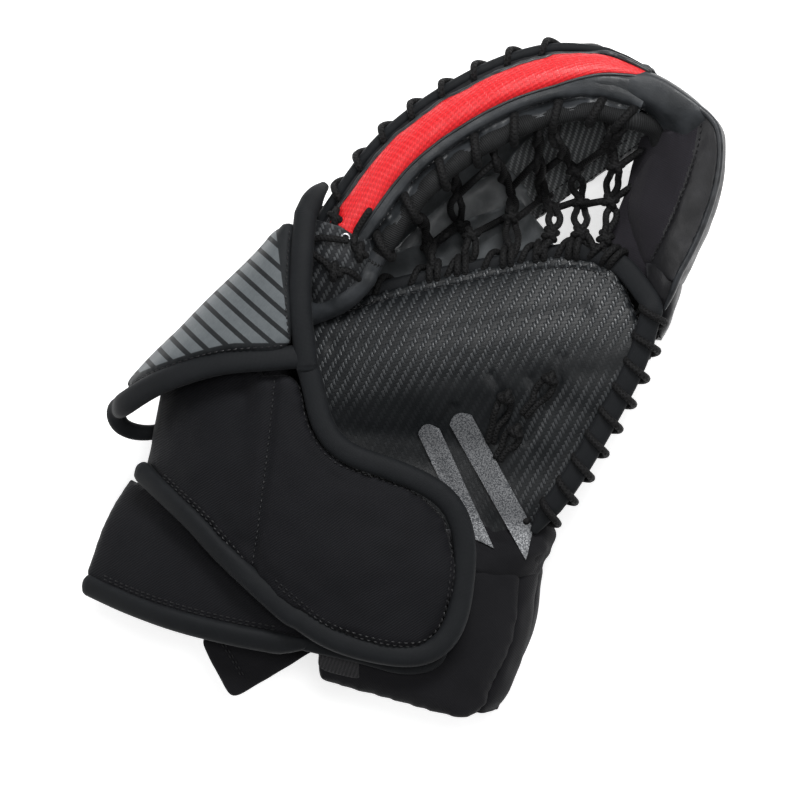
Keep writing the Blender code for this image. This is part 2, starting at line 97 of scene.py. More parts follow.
def connect(socket, value):
    """Feeds an input of a node with a value, a number or a colour."""
    if isinstance(value, Value):
        socket.id_data.links.new(value.socket, socket)
    else:
        socket.default_value = (*value, 1.0) if socket.type == "RGBA" else value


def lerp(share, a, b):
    return share * (b - a) + a


def wave(value, pitch):
    """A sine of the value, from 0 to 1."""
    return (value * (2 * math.pi / pitch)).math("SINE") * 0.5 + 0.5


def turned(a, b, degrees):
    c, s = math.cos(math.radians(degrees)), math.sin(math.radians(degrees))
    return a * c + b * s, b * c - a * s


class Shader:
    """One node material, built with short calls. Positions inside it are in millimetres."""

    def __init__(self, name, roughness=0.6, sheen=0.0, coat=0.0, gloss=0.35, metallic=0.0):
        self.material = bpy.data.materials.new(name)
        self.material.use_nodes = True
        self.nodes = self.material.node_tree.nodes
        self.surface = self.nodes["Principled BSDF"].inputs
        settings = {"Roughness": roughness, "Sheen Weight": sheen, "Specular IOR Level": gloss,
                    "Coat Weight": coat, "Coat Roughness": 0.35, "Metallic": metallic}
        for key, value in settings.items():
            connect(self.surface[key], value)
        coordinates = self.nodes.new("ShaderNodeTexCoord").outputs
        self.place = self.in_millimetres(coordinates["Object"])
        self.x, self.y, self.z = self.split(self.place)
        self.along, self.around, _ = self.split(self.in_millimetres(coordinates["UV"]))
        self.normal = Value(coordinates["Normal"])
        self.relief = None

    def node(self, kind, inputs, output=0, **settings):
        """Adds a node, and returns one of its outputs as a value."""
        node = self.nodes.new("ShaderNode" + kind)
        for key, value in settings.items():
            setattr(node, key, value)
        for key, value in inputs.items():
            connect(node.inputs[key], value)
        return Value(node.outputs[output])

    def in_millimetres(self, socket):
        return self.node("VectorMath", {0: Value(socket), "Scale": 1 / MM}, operation="SCALE")

    def split(self, vector):
        outputs = self.node("SeparateXYZ", {0: vector}).socket.node.outputs
        return [Value(output) for output in outputs]

    def ramp(self, value, low, high, to_low=0.0, to_high=1.0):
        limits = {"From Min": low, "From Max": high, "To Min": to_low, "To Max": to_high}
        return self.node("MapRange", {"Value": value, **limits}, interpolation_type="SMOOTHSTEP")

    def noise(self, size, detail):
        """Noise from 0 to 1 whose blobs are about size millimetres across."""
        return self.node("TexNoise", {"Vector": self.place, "Scale": 1 / size, "Detail": detail})

    def cells(self, size):
        """The distance to the nearest of random points that are about size millimetres apart."""
        return self.node("TexVoronoi", {"Vector": self.place, "Scale": 1 / size}, "Distance")

    def blend(self, share, a, b):
        """A mix of two colours."""
        return self.node("Mix", {0: share, 6: a, 7: b}, 2, data_type="RGBA")

    def colour(self, value):
        connect(self.surface["Base Color"], value)

    def rough(self, value):
        connect(self.surface["Roughness"], value)

    def bump(self, height, depth, strength=1.0):
        """Adds relief: height from 0 to 1 is depth millimetres high."""
        inputs = {"Height": height, "Distance": depth * MM, "Strength": strength}
        if self.relief:
            inputs["Normal"] = self.relief
        self.relief = self.node("Bump", inputs)
        connect(self.surface["Normal"], self.relief)

    def facing_plane(self):
        """Two coordinates in the plane that the surface faces most, so that a weave lies flat."""
        nx, ny, nz = (abs(n) for n in self.split(self.normal))
        top, side = nz.math("GREATER_THAN", 0.5), nx.math("GREATER_THAN", ny)
        return lerp(top, lerp(side, self.x, self.y), self.x), lerp(top, self.z, self.y)

    def plan_waves(self, degrees, pitch_a, pitch_b):
        """Waves across and along a direction in the XY plane."""
        a, b = turned(self.x, self.y, degrees)
        return wave(a, pitch_a), wave(b, pitch_b)

    def worn(self, colour, worn_colour, amount):
        """Lightens the edges that rub."""
        edge = self.node("NewGeometry", {}, "Pointiness")
        wear = self.ramp(edge, 0.51, 0.58) * self.ramp(self.noise(6, 4), 0.35, 0.7)
        return self.blend(wear * amount, colour, worn_colour)


def paler(colour, factor, lift=0.01):
    return tuple(min(1, c * factor + lift) for c in colour)


def twill_2x2(a, b, cell):
    """Height, and which way the thread runs, of a two-over-two twill weave with cells of the given size."""
    a, b = a / cell, b / cell
    i, j = a.math("FLOOR"), b.math("FLOOR")
    k = (i - j).math("FLOORED_MODULO", 4.0)
    warp = k.math("LESS_THAN", 1.5)
    length = lerp(warp, (a - i) + (k - 2.0), (b - j) + (1.0 - k))
    breadth = lerp(warp, b - j, a - i)
    arch = (length * (0.5 * math.pi)).math("SINE").math("MAXIMUM", 0.0) ** 0.35
    crown = 1.0 - abs(breadth * 2.0 - 1.0) ** 3.6
    return arch * crown * lerp(warp, 0.12, 1.0), warp


def leather_grain(s, depth):
    s.bump(s.cells(1.1) + s.noise(0.5, 4) * 0.5, depth, 0.5)
    s.bump(s.noise(9, 4), 0.5, 0.35)


def carbon(name, dark, light, cell=1.84, turn=15, fade=False, depth=0.35, roughness=0.42):
    """Leather embossed with a twill weave. In the palm the weave fades, and the colour there darkens as a
    painted shade.
    """
    s = Shader(name, roughness, gloss=0.30)
    a, b = s.facing_plane()
    a = a + (s.noise(30, 2) - 0.5) * 3.0
    height, warp = twill_2x2(*turned(a, b, turn), cell)
    # The colour follows the weave's height: raised threads are painted lighter and hollows darker, a painted
    # highlight and painted shade on the relief.
    shade = height * lerp(warp, 0.55, 1.0)
    strength = 1.0
    if fade:
        # Along the fold in the lower palm the weave's relief is flattened and its lighter threads leave the
        # colour: a painted shade on the fold.
        above = s.y - s.x * 0.22 + s.noise(14, 3) * 8.0
        heel = s.ramp(s.x, 52, 78) * s.ramp(above, 0, -14)
        strength = s.ramp(above, 2, 20, 0.12, 1.0).math("MAXIMUM", heel * 0.75)
        shade = shade * strength
    leather_grain(s, 0.06)
    s.bump(height, depth, strength)
    s.colour(s.worn(s.blend(shade, dark, light), paler(light, 1.7, 0.02), 0.35))
    s.rough(lerp(shade, roughness + 0.12, roughness - 0.06))
    return s.material


def smooth_leather(name, dark, light, roughness=0.42, depth=0.10):
    s = Shader(name, roughness, coat=0.08)
    leather_grain(s, depth)
    tone = s.ramp(s.noise(14, 5), 0.3, 0.7)
    s.colour(s.worn(s.blend(tone, dark, light), paler(light, 2.2), 0.6))
    s.rough(s.ramp(s.noise(5, 4), 0.3, 0.7, roughness - 0.05, roughness + 0.1))
    return s.material


def woven(name, dark, light, pitch=1.3, turn=33, roughness=0.62, sheen=0.03, depth=0.16):
    """Nylon twill: fine slanted ribs made of short threads."""
    s = Shader(name, roughness, sheen, gloss=0.11)
    a, b = turned(*s.facing_plane(), turn)
    b = b + s.noise(40, 2) * 4.0
    height = wave(b, pitch) * (wave(a + b * 0.6, pitch * 0.42) * 0.5 + 0.5)
    s.bump(s.noise(11, 3), 0.6, 0.25)
    s.bump(height, depth, 0.9)
    # The tone is partly random and partly the threads' height: raised threads are painted lighter and hollows
    # darker, a painted highlight and painted shade.
    tone = s.noise(22, 4) * 0.5 + height * 0.5
    s.colour(s.worn(s.blend(tone, dark, light), paler(light, 2.0), 0.4))
    s.rough(lerp(height, roughness + 0.12, roughness - 0.05))
    return s.material


def tape(name, dark, light, pitch, roughness, slant, depth):
    """Tape with fine ribs across its length. It needs the sweep's own coordinates."""
    s = Shader(name, roughness, 0.015, gloss=0.16)
    height = wave(s.along + s.around * slant, pitch) * (wave(s.around, 0.8) * 0.35 + 0.65)
    s.bump(s.noise(7, 4), 0.5, 0.35)
    s.bump(height, depth, 0.9)
    # The tone is partly random and partly the ribs' height: raised ribs are painted lighter and hollows
    # darker, a painted highlight and painted shade.
    tone = s.noise(10, 4) * 0.4 + height * 0.6
    s.colour(s.worn(s.blend(tone, dark, light), paler(light, 2.2), 0.5))
    s.rough(lerp(height, roughness + 0.1, roughness - 0.06))
    return s.material


def braid(name, dark, light, pitch=2.3, girth=7.2):
    """Round lace: threads that wind both ways round it."""
    s = Shader(name, 0.66, 0.015, gloss=0.16)
    a, b = s.along * (2 * math.pi / pitch), s.around * (4 * math.pi / girth)
    height = (a + b).math("SINE").math("MAXIMUM", (a - b).math("SINE")) * 0.5 + 0.5
    s.bump(height, 0.35, 0.9)
    s.bump(s.noise(0.4, 2), 0.08, 0.5)
    # The colour follows the strands' height times a random tone: raised strands are painted lighter, hollows
    # darker, a painted highlight and painted shade.
    s.colour(s.blend(height * s.noise(4, 3), dark, light))
    return s.material


def speckled(name):
    """Reflective film with a fine printed grid and scuffs."""
    s = Shader(name, 0.5, metallic=0.25)
    a, b = turned(*s.facing_plane(), 30)
    speck = s.ramp(s.noise(0.8, 3), 0.40, 0.60)
    # The grid is printed; the specks are raised and painted lighter, a painted glint on the film.
    tone = wave(a, 0.9) * wave(b, 0.9) * 0.2 + speck * 0.8
    scuff = s.ramp(s.noise(7, 6), 0.62, 0.72)
    base = s.blend(tone, (0.045, 0.048, 0.054), (0.20, 0.205, 0.212))
    s.colour(s.blend(scuff * 0.35, base, (0.09, 0.09, 0.095)))
    s.bump(speck, 0.06, 0.8)
    s.rough(s.ramp(speck, 0, 1, 0.55, 0.38))
    return s.material


def striped_print(name):
    """The cuff's grey satin print: broad grey bands between dark slanted lines."""
    s = Shader(name, 0.6, 0.015, gloss=0.2)
    pitch, line_share = 8.7, 0.305
    drift = s.ramp(s.y, 62, 12) * (s.x * -0.055 - 4.5)
    across, _ = turned(s.x, s.y, 48)
    share = ((across + drift + (s.noise(0.8, 2) - 0.5) * 0.25) / pitch).math("FRACT")
    line = s.ramp(share, 0.0, 0.025) * s.ramp(share, line_share + 0.025, line_share)
    warp, weft = s.plan_waves(18, 0.75, 0.62)
    thread = warp * weft
    # The tone is partly random and partly the threads' height: raised threads are painted lighter, a painted
    # highlight and painted shade.
    tone = thread * 0.35 + s.noise(3, 4) * 0.6
    grey = s.blend(tone, (0.070, 0.080, 0.086), (0.130, 0.142, 0.150))
    dark = s.blend(tone, (0.005, 0.006, 0.007), (0.014, 0.016, 0.018))
    # Plain dark margins lie beside the bound edges.
    right = s.y * 0.131 + s.x + 57.9
    back = ((s.x + 92.9) / -58).math("MAXIMUM", 0.0) ** 1.35
    low = back * -17.3 + 32.2 - s.y
    margin = s.ramp(right, -0.3, 0.3).math("MAXIMUM", s.ramp(low, -0.3, 0.3))
    line = line.math("MAXIMUM", margin)
    inside = s.ramp(s.split(s.normal)[2], -0.05, 0.1)
    s.colour(s.blend(line, s.blend(inside, dark, grey), dark))
    s.bump(thread, 0.12, 0.8)
    s.bump(s.noise(9, 3), 0.5, 0.3)
    s.rough(lerp(line, 0.5, 0.62))
    return s.material


def red_leather(name):
    s = Shader(name, 0.34, coat=0.15)
    height, _ = twill_2x2(*turned(s.along, s.around, 20), 1.15)
    rib = wave(s.around + s.along * 0.22, 2.3)
    s.bump(s.noise(8, 3), 0.5, 0.3)
    s.bump(height, 0.16, 0.9)
    s.bump(rib, 0.18, 0.6)
    # The colour follows the relief: raised weave and ribs are painted a brighter red and hollows a deeper
    # one, a painted highlight and painted shade.
    base = s.blend(height * 0.5 + rib * 0.35, (0.50, 0.006, 0.010), (0.86, 0.020, 0.026))
    s.colour(s.worn(base, (0.95, 0.22, 0.22), 0.35))
    s.rough(lerp(height, 0.44, 0.30))
    return s.material


def hook_tape(name):
    s = Shader(name, 0.85, 0.12)
    dots = s.cells(0.9)
    s.bump(1.0 - dots, 0.5)
    # The raised hooks are painted lighter than the ground between them, a painted highlight and painted
    # shade.
    s.colour(s.blend(dots, (0.03, 0.03, 0.032), (0.006, 0.006, 0.006)))
    return s.material


def ribbed_webbing(name):
    s = Shader(name, 0.7, 0.06)
    rib, thread = s.plan_waves(-20, 2.1, 0.9)
    height = rib * (thread * 0.4 + 0.6)
    s.bump(height, 0.5)
    # The colour follows the ribs' height: raised ribs are painted lighter and hollows darker, a painted
    # highlight and painted shade.
    s.colour(s.blend(height, (0.008, 0.008, 0.009), (0.032, 0.031, 0.034)))
    return s.material


def plain(name, colour, roughness, metallic=0.0):
    s = Shader(name, roughness, metallic=metallic)
    s.colour(s.blend(s.noise(3, 4), colour, paler(colour, 1.5, 0)))
    s.bump(s.noise(0.7, 3), 0.05, 0.5)
    return s.material


MATERIALS = {
    "carbon": carbon("carbon_leather", (0.012, 0.013, 0.015), (0.062, 0.066, 0.070)),
    "palm": carbon("palm_leather", (0.004, 0.005, 0.006), (0.040, 0.043, 0.046), 1.95, fade=True, depth=0.5,
                   roughness=0.36),
    "leather": smooth_leather("smooth_leather", (0.014, 0.016, 0.018), (0.029, 0.032, 0.036)),
    # The spine strap's leather: the black carbon leather painted lighter for the light that falls on it, a
    # painted light.
    "carbon_painted_light": carbon("spine_leather_painted_light", (0.070, 0.075, 0.077), (0.24, 0.25, 0.255), 1.2, 30, depth=0.2),
    # The pocket's leather: the black leather painted lighter for the light that falls on it, a painted light.
    "pocket": smooth_leather("pocket_leather_painted_light", (0.040, 0.044, 0.047), (0.085, 0.092, 0.097), 0.5),
    # The spine pad's leather: the black leather painted light grey for the light that falls on it, a painted
    # light.
    "pad": smooth_leather("spine_pad_leather_painted_light", (0.085, 0.090, 0.094), (0.16, 0.17, 0.175), 0.5),
    "black_leather": smooth_leather("black_leather", (0.006, 0.006, 0.007), (0.014, 0.014, 0.016), 0.46),
    "suede": woven("rim_fabric", (0.012, 0.011, 0.014), (0.026, 0.024, 0.029), 0.9, 20, 0.75, 0.036, 0.12),
    "piping": smooth_leather("piping_leather", (0.008, 0.009, 0.010), (0.020, 0.022, 0.025), 0.36, 0.05),
    "red": red_leather("red_leather"),
    "nylon": woven("nylon_twill", (0.0025, 0.0027, 0.0035), (0.0095, 0.0096, 0.0120)),
    "canvas": woven("side_nylon", (0.004, 0.004, 0.005), (0.013, 0.013, 0.015), 0.8, 60, 0.7),
    "binding": tape("binding_tape", (0.0035, 0.0040, 0.0048), (0.0100, 0.0115, 0.0135), 0.7, 0.64, 0.0, 0.05),
    "knit": tape("knit_tape", (0.003, 0.003, 0.003), (0.018, 0.019, 0.020), 1.15, 0.62, 0.12, 0.3),
    "lace": braid("braided_lace", (0.002, 0.002, 0.002), (0.012, 0.012, 0.013)),
    "thread": plain("sewing_thread", (0.006, 0.006, 0.007), 0.5),
    "reflective": speckled("reflective_film"),
    "print": striped_print("cuff_print"),
    "lining": woven("lining_cloth", (0.018, 0.018, 0.020), (0.045, 0.045, 0.050), 1.6, 45, 0.8, 0.048, 0.2),
    "webbing": ribbed_webbing("webbing"),
    "hook": hook_tape("hook_tape"),
    "metal": plain("eyelet_metal", (0.45, 0.45, 0.47), 0.3, 1.0),
}
# The record's material slot for each material; the rest are kinds of leather, among them copies of the black
# leather painted lighter as painted light.
SLOTS = dict.fromkeys(MATERIALS, "carbon_leather") | {
    "red": "red_leather", "piping": "binding_tape", "binding": "binding_tape", "knit": "binding_tape",
    "nylon": "black_nylon", "canvas": "black_nylon", "lining": "lining", "webbing": "webbing",
    "hook": "hook_tape", "lace": "lace", "thread": "lace", "metal": "lace", "reflective": "reflective",
    "print": "cuff_print",
}


# ---- curves and surfaces ----

def spline(a, b, c, d, f):
    """The point at share f of the smooth curve from b to c, where a comes before and d after."""
    return 0.5 * (2 * b + (c - a) * f + (2 * a - 5 * b + 4 * c - d) * f ** 2
                  + (3 * b - a - 3 * c + d) * f ** 3)


def lengths_along(path):
    return np.concatenate([[0], np.cumsum(np.linalg.norm(np.diff(path, axis=0), axis=1))])


def sampled(values, places, at):
    """The values, known at some places, in between at other places."""
    return np.stack([np.interp(at, places, values[:, k]) for k in range(values.shape[1])], axis=-1)


def curve(points, step=1.0):
    """Evenly spaced points, step apart, on the smooth curve through the given ones."""
    points = np.array(points, float)
    if len(points) == 2:
        dense = points[0] + np.linspace(0, 1, 50)[:, None] * (points[1] - points[0])
    else:
        ends = np.vstack([2 * points[0] - points[1], points, 2 * points[-1] - points[-2]])
        dense = []
        for a, b, c, d in zip(ends, ends[1:], ends[2:], ends[3:]):
            f = np.linspace(0, 1, 24, endpoint=False)[:, None]
            dense.append(spline(a, b, c, d, f))
        dense = np.vstack(dense + [points[-1:]])
    run = lengths_along(dense)
    count = max(2, int(round(run[-1] / step)) + 1)
    return sampled(dense, run, np.linspace(0, run[-1], count))


def across(rows, count):
    """A grid of points (n, count, 3): smooth curves drawn across several paths of n points each."""
    rows = np.array(rows, float)
    ends = np.concatenate([2 * rows[:1] - rows[1:2], rows, 2 * rows[-1:] - rows[-2:-1]])
    made = []
    for place in np.linspace(0, len(rows) - 1, count):
        i = min(int(place), len(rows) - 2)
        f = place - i
        a, b, c, d = ends[i:i + 4]
        made.append(spline(a, b, c, d, f))
    return np.array(made).transpose(1, 0, 2)


def along(points, count):
    """A smooth path of exactly count points."""
    path = curve(points, 0.5)
    return path[np.round(np.linspace(0, len(path) - 1, count)).astype(int)]


def tree_of(points):
    tree = KDTree(len(points))
    for k, point in enumerate(points):
        tree.insert(point, k)
    tree.balance()
    return tree


def unit(v):
    return v / np.maximum(np.linalg.norm(v, axis=-1, keepdims=True), 1e-9)


def headings(path):
    return unit(np.gradient(np.array(path, float), axis=0))


def turning_frames(path):
    """Side and up directions that turn as little as they can along the path."""
    ahead = headings(path)
    side = np.cross(ahead[0], UP if abs(ahead[0][2]) < 0.9 else np.array((1.0, 0, 0)))
    sides = []
    for t in ahead:
        side = side - t * (side @ t)
        side = side / np.linalg.norm(side)
        sides.append(side)
    sides = np.array(sides)
    return sides, np.cross(ahead, sides)


def upright_frames(path, up):
    """Side (to the left) and up directions, with up as near the given one as the path allows."""
    ahead = headings(path)
    up = np.broadcast_to(np.array(up, float), ahead.shape)
    side = unit(np.cross(up, ahead))
    return side, np.cross(ahead, side)


def welded(*nodes):
    bm = bmesh.new()
    for node in nodes:
        bm.from_mesh(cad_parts[node].data)
    bmesh.ops.remove_doubles(bm, verts=bm.verts, dist=0.01 * MM)
    bm.normal_update()
    return bm


def centre_line(node, radius, first):
    """The line inside a CAD tube, from its end nearest to first. Each vertex is moved in by the radius."""
    bm = welded(node)
    groups = []
    for vertex in bm.verts:
        spot = np.array(vertex.co) / MM - np.array(vertex.normal) * radius
        for group in groups:
            if np.linalg.norm(group[0] - spot) < 0.75 * radius:
                group.append(spot)
                break
        else:
            groups.append([spot])
    bm.free()
    spots = [np.mean(group, axis=0) for group in groups]
    chain = [spots.pop(0)]
    while spots:
        _, k, at_end = min((np.linalg.norm(spot - end), k, at_end) for k, spot in enumerate(spots)
                           for at_end, end in ((0, chain[0]), (1, chain[-1])))
        chain.insert(len(chain) if at_end else 0, spots.pop(k))
    if np.linalg.norm(chain[-1] - first) < np.linalg.norm(chain[0] - first):
        chain.reverse()
    return np.array(chain)


class Skin:
    """Ray casts on meshes, in millimetres."""

    def __init__(self, *objects):
        points, faces = [], []
        for obj in objects:
            base = len(points)
            points += [obj.matrix_world @ v.co / MM for v in obj.data.vertices]
            faces += [[base + i for i in p.vertices] for p in obj.data.polygons]
        self.tree = BVHTree.FromPolygons(points, faces)
        self.last = 90.0

    def down(self, x, y):
        """The highest point over (x, y) and its normal; past an edge, the nearest point of the surface."""
        point, normal, _, _ = self.tree.ray_cast(Vector((x, y, 300)), Vector((0, 0, -1)))
        if point is None:
            point, normal, _, _ = self.tree.find_nearest(Vector((x, y, self.last)))
        self.last = point.z
        return np.array(point), np.array(normal)

    def nearest(self, point):
        return np.array(self.tree.find_nearest(Vector(point))[0])

    def trace(self, points, lift=0.0, step=1.0):
        """A smooth path over the surface above the given (x, y) points, and the normals along it."""
        return laid([self.down(x, y) for x, y in curve([p[:2] for p in points], step)], lift)

    def near(self, points):
        """A smooth path over the surface nearest to the given points, and the normals along it."""
        return laid([self.tree.find_nearest(Vector(p))[:2] for p in curve(points)])


def laid(hits, lift=0.0):
    """A smooth path, lift above the points of a surface, and smooth normals from (point, normal) pairs."""
    places, normals = (np.array(values) for values in zip(*hits))
    normals = unit(softened(normals, 3))
    return softened(places, 2) + normals * lift, normals


def softened(values, rounds):
    values = values.copy()
    for _ in range(rounds):
        values[1:-1] = 0.25 * values[:-2] + 0.5 * values[1:-1] + 0.25 * values[2:]
    return values


def circle(radius, sides=10):
    turn = np.linspace(0, 2 * math.pi, sides, endpoint=False)
    return np.column_stack([np.cos(turn), np.sin(turn)]) * radius


def pillow(width, height, sides=20, power=2.6):
    """A flattened round section."""
    turn = np.linspace(0, 2 * math.pi, sides, endpoint=False)
    c, s = np.cos(turn), np.sin(turn)
    bulge = lambda value, size: np.sign(value) * np.abs(value) ** (2 / power) * size / 2
    return np.column_stack([bulge(c, width), bulge(s, height)])


class Shape:
    """Points, faces and lengthwise coordinates of one piece, gathered from sweeps and stitches."""

    def __init__(self):
        self.points, self.faces, self.uvs = [], [], []
        self.count = 0

    def rings(self, rings, lengths, domed):
        """Joins rings of points (n, m, 3) into a closed tube."""
        n, m, _ = rings.shape
        if domed:
            heads = []
            for end, inner in ((0, 1), (-1, -2)):
                centre, ring = rings[end].mean(axis=0), rings[end]
                ahead = unit(centre - rings[inner].mean(axis=0))
                reach = np.linalg.norm(ring - centre, axis=1).min()
                caps = [centre + ahead * reach * math.sin(a) + (ring - centre) * math.cos(a)
                        for a in (0.5, 1.0, 1.35)]
                heads.append(caps if end else caps[::-1])
            rings = np.concatenate([heads[0], rings, heads[1]])
            more = np.array([1, 2, 3]) * 0.4
            lengths = np.concatenate([lengths[0] - more[::-1], lengths, lengths[-1] + more])
            n = len(rings)
        base = self.count
        self.points.append(rings.reshape(-1, 3))
        self.count += n * m
        girth = lengths_along(np.vstack([rings[n // 2], rings[n // 2, :1]]))
        for i in range(n - 1):
            for j in range(m):
                corners = ((i, j), (i, j + 1), (i + 1, j + 1), (i + 1, j))
                self.faces.append(tuple(base + a * m + b % m for a, b in corners))
                self.uvs.append(tuple((lengths[a], girth[b]) for a, b in corners))
        for ring, order in ((0, -1), (n - 1, 1)):
            loop = [base + ring * m + j for j in range(m)][::order]
            self.faces.append(tuple(loop))
            self.uvs.append(tuple((lengths[ring], 0.0) for _ in loop))

    def sweep(self, path, section, up=None, domed=True, scale=None):
        """Sweeps a section of (side, up) offsets along a path. Scale gives its size at each of the points."""
        path = np.array(path, float)
        side, top = turning_frames(path) if up is None else upright_frames(path, up)
        section = np.array(section, float)
        if section.ndim == 2:
            section = np.broadcast_to(section, (len(path), *section.shape))
        if scale is not None:
            section = section * np.array(scale, float).reshape(len(path), 1, -1)
        rings = path[:, None] + side[:, None] * section[..., :1] + top[:, None] * section[..., 1:]
        self.rings(rings[:, ::-1], lengths_along(path), domed)
        return self

    def tube(self, points, radius, step=1.2, sides=10, taper=None):
        path = curve(points, step)
        scale = None if taper is None else taper(np.linspace(0, 1, len(path)))[:, None]
        return self.sweep(path, circle(radius, sides), scale=scale)

    def stitches(self, path, normals, length=2.3, gap=1.5, radius=0.42, lift=0.12):
        """Short sewn stitches along a path on a surface, each one an arched thread."""
        run = lengths_along(path)
        for k in range(int(run[-1] // (length + gap))):
            start = k * (length + gap) + gap / 2
            stops = start + length * np.array([0.0, 0.2, 0.5, 0.8, 1.0])
            lifts = lift + radius * np.array([-0.9, 0.3, 0.75, 0.3, -0.9])
            line = sampled(path, run, stops) + sampled(normals, run, stops) * lifts[:, None]
            self.sweep(line, circle(radius, 6), up=sampled(normals, run, start), domed=False,
                       scale=[[0.6], [1], [1.1], [1], [0.6]])
        return self

    def sheet(self, grid, thickness):
        """A solid sheet whose face is a grid of points (n, m, 3); its thickness lies behind the face."""
        n, m, _ = grid.shape
        du, dv = np.gradient(grid, axis=0), np.gradient(grid, axis=1)
        normal = unit(np.cross(du, dv))
        normal[~np.isfinite(normal).all(axis=-1)] = UP
        if normal[n // 2, m // 2, 2] < 0:
            normal = -normal
        back = grid - normal * thickness
        base = self.count
        self.points += [grid.reshape(-1, 3), back.reshape(-1, 3)]
        self.count += 2 * n * m
        length, breadth = lengths_along(grid[:, m // 2]), lengths_along(grid[n // 2])
        place = lambda i, j, side=0: base + side * n * m + i * m + j
        uv = lambda i, j: (length[i], breadth[j])
        for i in range(n - 1):
            for j in range(m - 1):
                corners = ((i, j), (i + 1, j), (i + 1, j + 1), (i, j + 1))
                self.faces.append(tuple(place(*c) for c in corners))
                self.faces.append(tuple(place(*c, 1) for c in corners[::-1]))
                self.uvs += [tuple(uv(*c) for c in corners), tuple(uv(*c) for c in corners[::-1])]
        edge = ([(i, 0) for i in range(n)] + [(n - 1, j) for j in range(1, m)]
                + [(i, m - 1) for i in range(n - 2, -1, -1)] + [(0, j) for j in range(m - 2, 0, -1)])
        for a, b in zip(edge, edge[1:] + edge[:1]):
            self.faces.append((place(*b), place(*a), place(*a, 1), place(*b, 1)))
            self.uvs.append((uv(*b), uv(*a), uv(*a), uv(*b)))
        return self

    def piece(self, name, material, body=None, nodes=()):
        """Makes the object, which rides on a body and stands for CAD nodes."""
        mesh = bpy.data.meshes.new(name)
        mesh.from_pydata((np.vstack(self.points) * MM).tolist(), [], self.faces)
        layer = mesh.uv_layers.new(name="UVMap")
        uvs = np.array([corner for face in self.uvs for corner in face], np.float32) * MM
        layer.data.foreach_set("uv", uvs.ravel())
        bm = bmesh.new()
        bm.from_mesh(mesh)
        bmesh.ops.recalc_face_normals(bm, faces=bm.faces)
        bm.to_mesh(mesh)
        bm.free()
        mesh.shade_smooth()
        mesh.set_sharp_from_angle(angle=math.radians(50))
        return dress(bpy.data.objects.new(name, mesh), material, body, nodes)


def dress(obj, material, body=None, nodes=()):
    if obj.name not in scene.collection.objects:
        scene.collection.objects.link(obj)
    obj.data.materials.clear()
    obj.data.materials.append(MATERIALS[material])
    if nodes:
        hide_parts(*nodes)
    if body:
        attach(obj, body)
    return obj


# ---- padded pieces: remeshed CAD solids, blown up as cloth ----

def coords(obj):
    values = np.zeros(len(obj.data.vertices) * 3)
    obj.data.vertices.foreach_get("co", values)
    return values.reshape(-1, 3) / MM


def set_coords(obj, values):
    """Writes the points in millimetres; none of them may sink into the floor."""
    values = np.column_stack([values[:, :2], np.maximum(values[:, 2], 0.4)])
    obj.data.vertices.foreach_set("co", (values * MM).ravel())
    obj.data.update()


def normals_of(obj):
    values = np.zeros(len(obj.data.vertices) * 3)
    obj.data.vertex_normals.foreach_get("vector", values)
    return values.reshape(-1, 3)


def applied(obj, kind, **settings):
    """Adds a modifier and applies it."""
    modifier = obj.modifiers.new(kind.lower(), kind)
    for key, value in settings.items():
        setattr(modifier, key, value)
    graph = bpy.context.evaluated_depsgraph_get()
    mesh = bpy.data.meshes.new_from_object(obj.evaluated_get(graph))
    obj.modifiers.clear()
    obj.data = mesh
    return obj


def evened(obj, rounds):
    """Smooths without shrinking: after each round of smoothing, one gives the lost volume back."""
    pairs = np.zeros(len(obj.data.edges) * 2, int)
    obj.data.edges.foreach_get("vertices", pairs)
    a, b = pairs[::2], pairs[1::2]
    points = coords(obj)
    count = np.bincount(pairs, minlength=len(points))[:, None]
    for k in range(rounds * 2):
        total = np.zeros_like(points)
        np.add.at(total, a, points[b])
        np.add.at(total, b, points[a])
        points = points + (total / count - points) * (0.6 if k % 2 == 0 else -0.62)
    set_coords(obj, points)


def solid_copy(name, nodes, edit=None):
    bm = welded(*nodes)
    mesh = bpy.data.meshes.new(name)
    bm.to_mesh(mesh)
    bm.free()
    obj = bpy.data.objects.new(name, mesh)
    scene.collection.objects.link(obj)
    if edit:
        set_coords(obj, edit(coords(obj)))
    return obj


def close_wrap(points):
    """Brings the flap's sewn edge over to the fixed part of the wrap, so that the two join at the seam."""
    moved = points.copy()
    edge = -78 - 0.08 * (points[:, 1] + 50)
    share = np.clip(1 - (points[:, 0] - edge + 4) / 26, 0, 1)
    moved[:, 0] -= 5.0 * share * (points[:, 0] > edge - 4.5) * (points[:, 2] > 80)
    lifted = np.clip((points[:, 1] + 14) / 20, 0, 1) * (points[:, 0] >= edge + 1)
    moved[:, 1] += 6.5 * lifted
    fixed = points[:, 0] < edge + 1
    up = np.clip((points[:, 1] + 30) / 30, 0, 1) * fixed
    moved[:, 1] += 24.0 * up
    moved[:, 2] -= 13.0 * up
    return moved


def widen_palm(points):
    """Brings the palm's leather out to its border, and to the left under the cuff."""
    moved = points.copy()
    tree = tree_of(palm_edge * (1, 1, 0))
    for k, point in enumerate(points):
        spot, _, away = tree.find(point * (1, 1, 0))
        toward = unit(np.array(spot)[:2] - point[:2])
        moved[k, :2] += toward * max(0.0, min(away - 2.5, 8.0 * (38 - away) / 27))
    left = np.clip((-18 - points[:, 0]) / 30, 0, 1)
    moved[:, 0] -= 8.0 * left
    moved[:, 2] -= 3.0 * left
    return moved


# The thumb band's outer binding: its node, its radius and which end comes first.
OUTER_BINDING = ("thumb_outer_binding", 2.8, (-48, 98, 78))


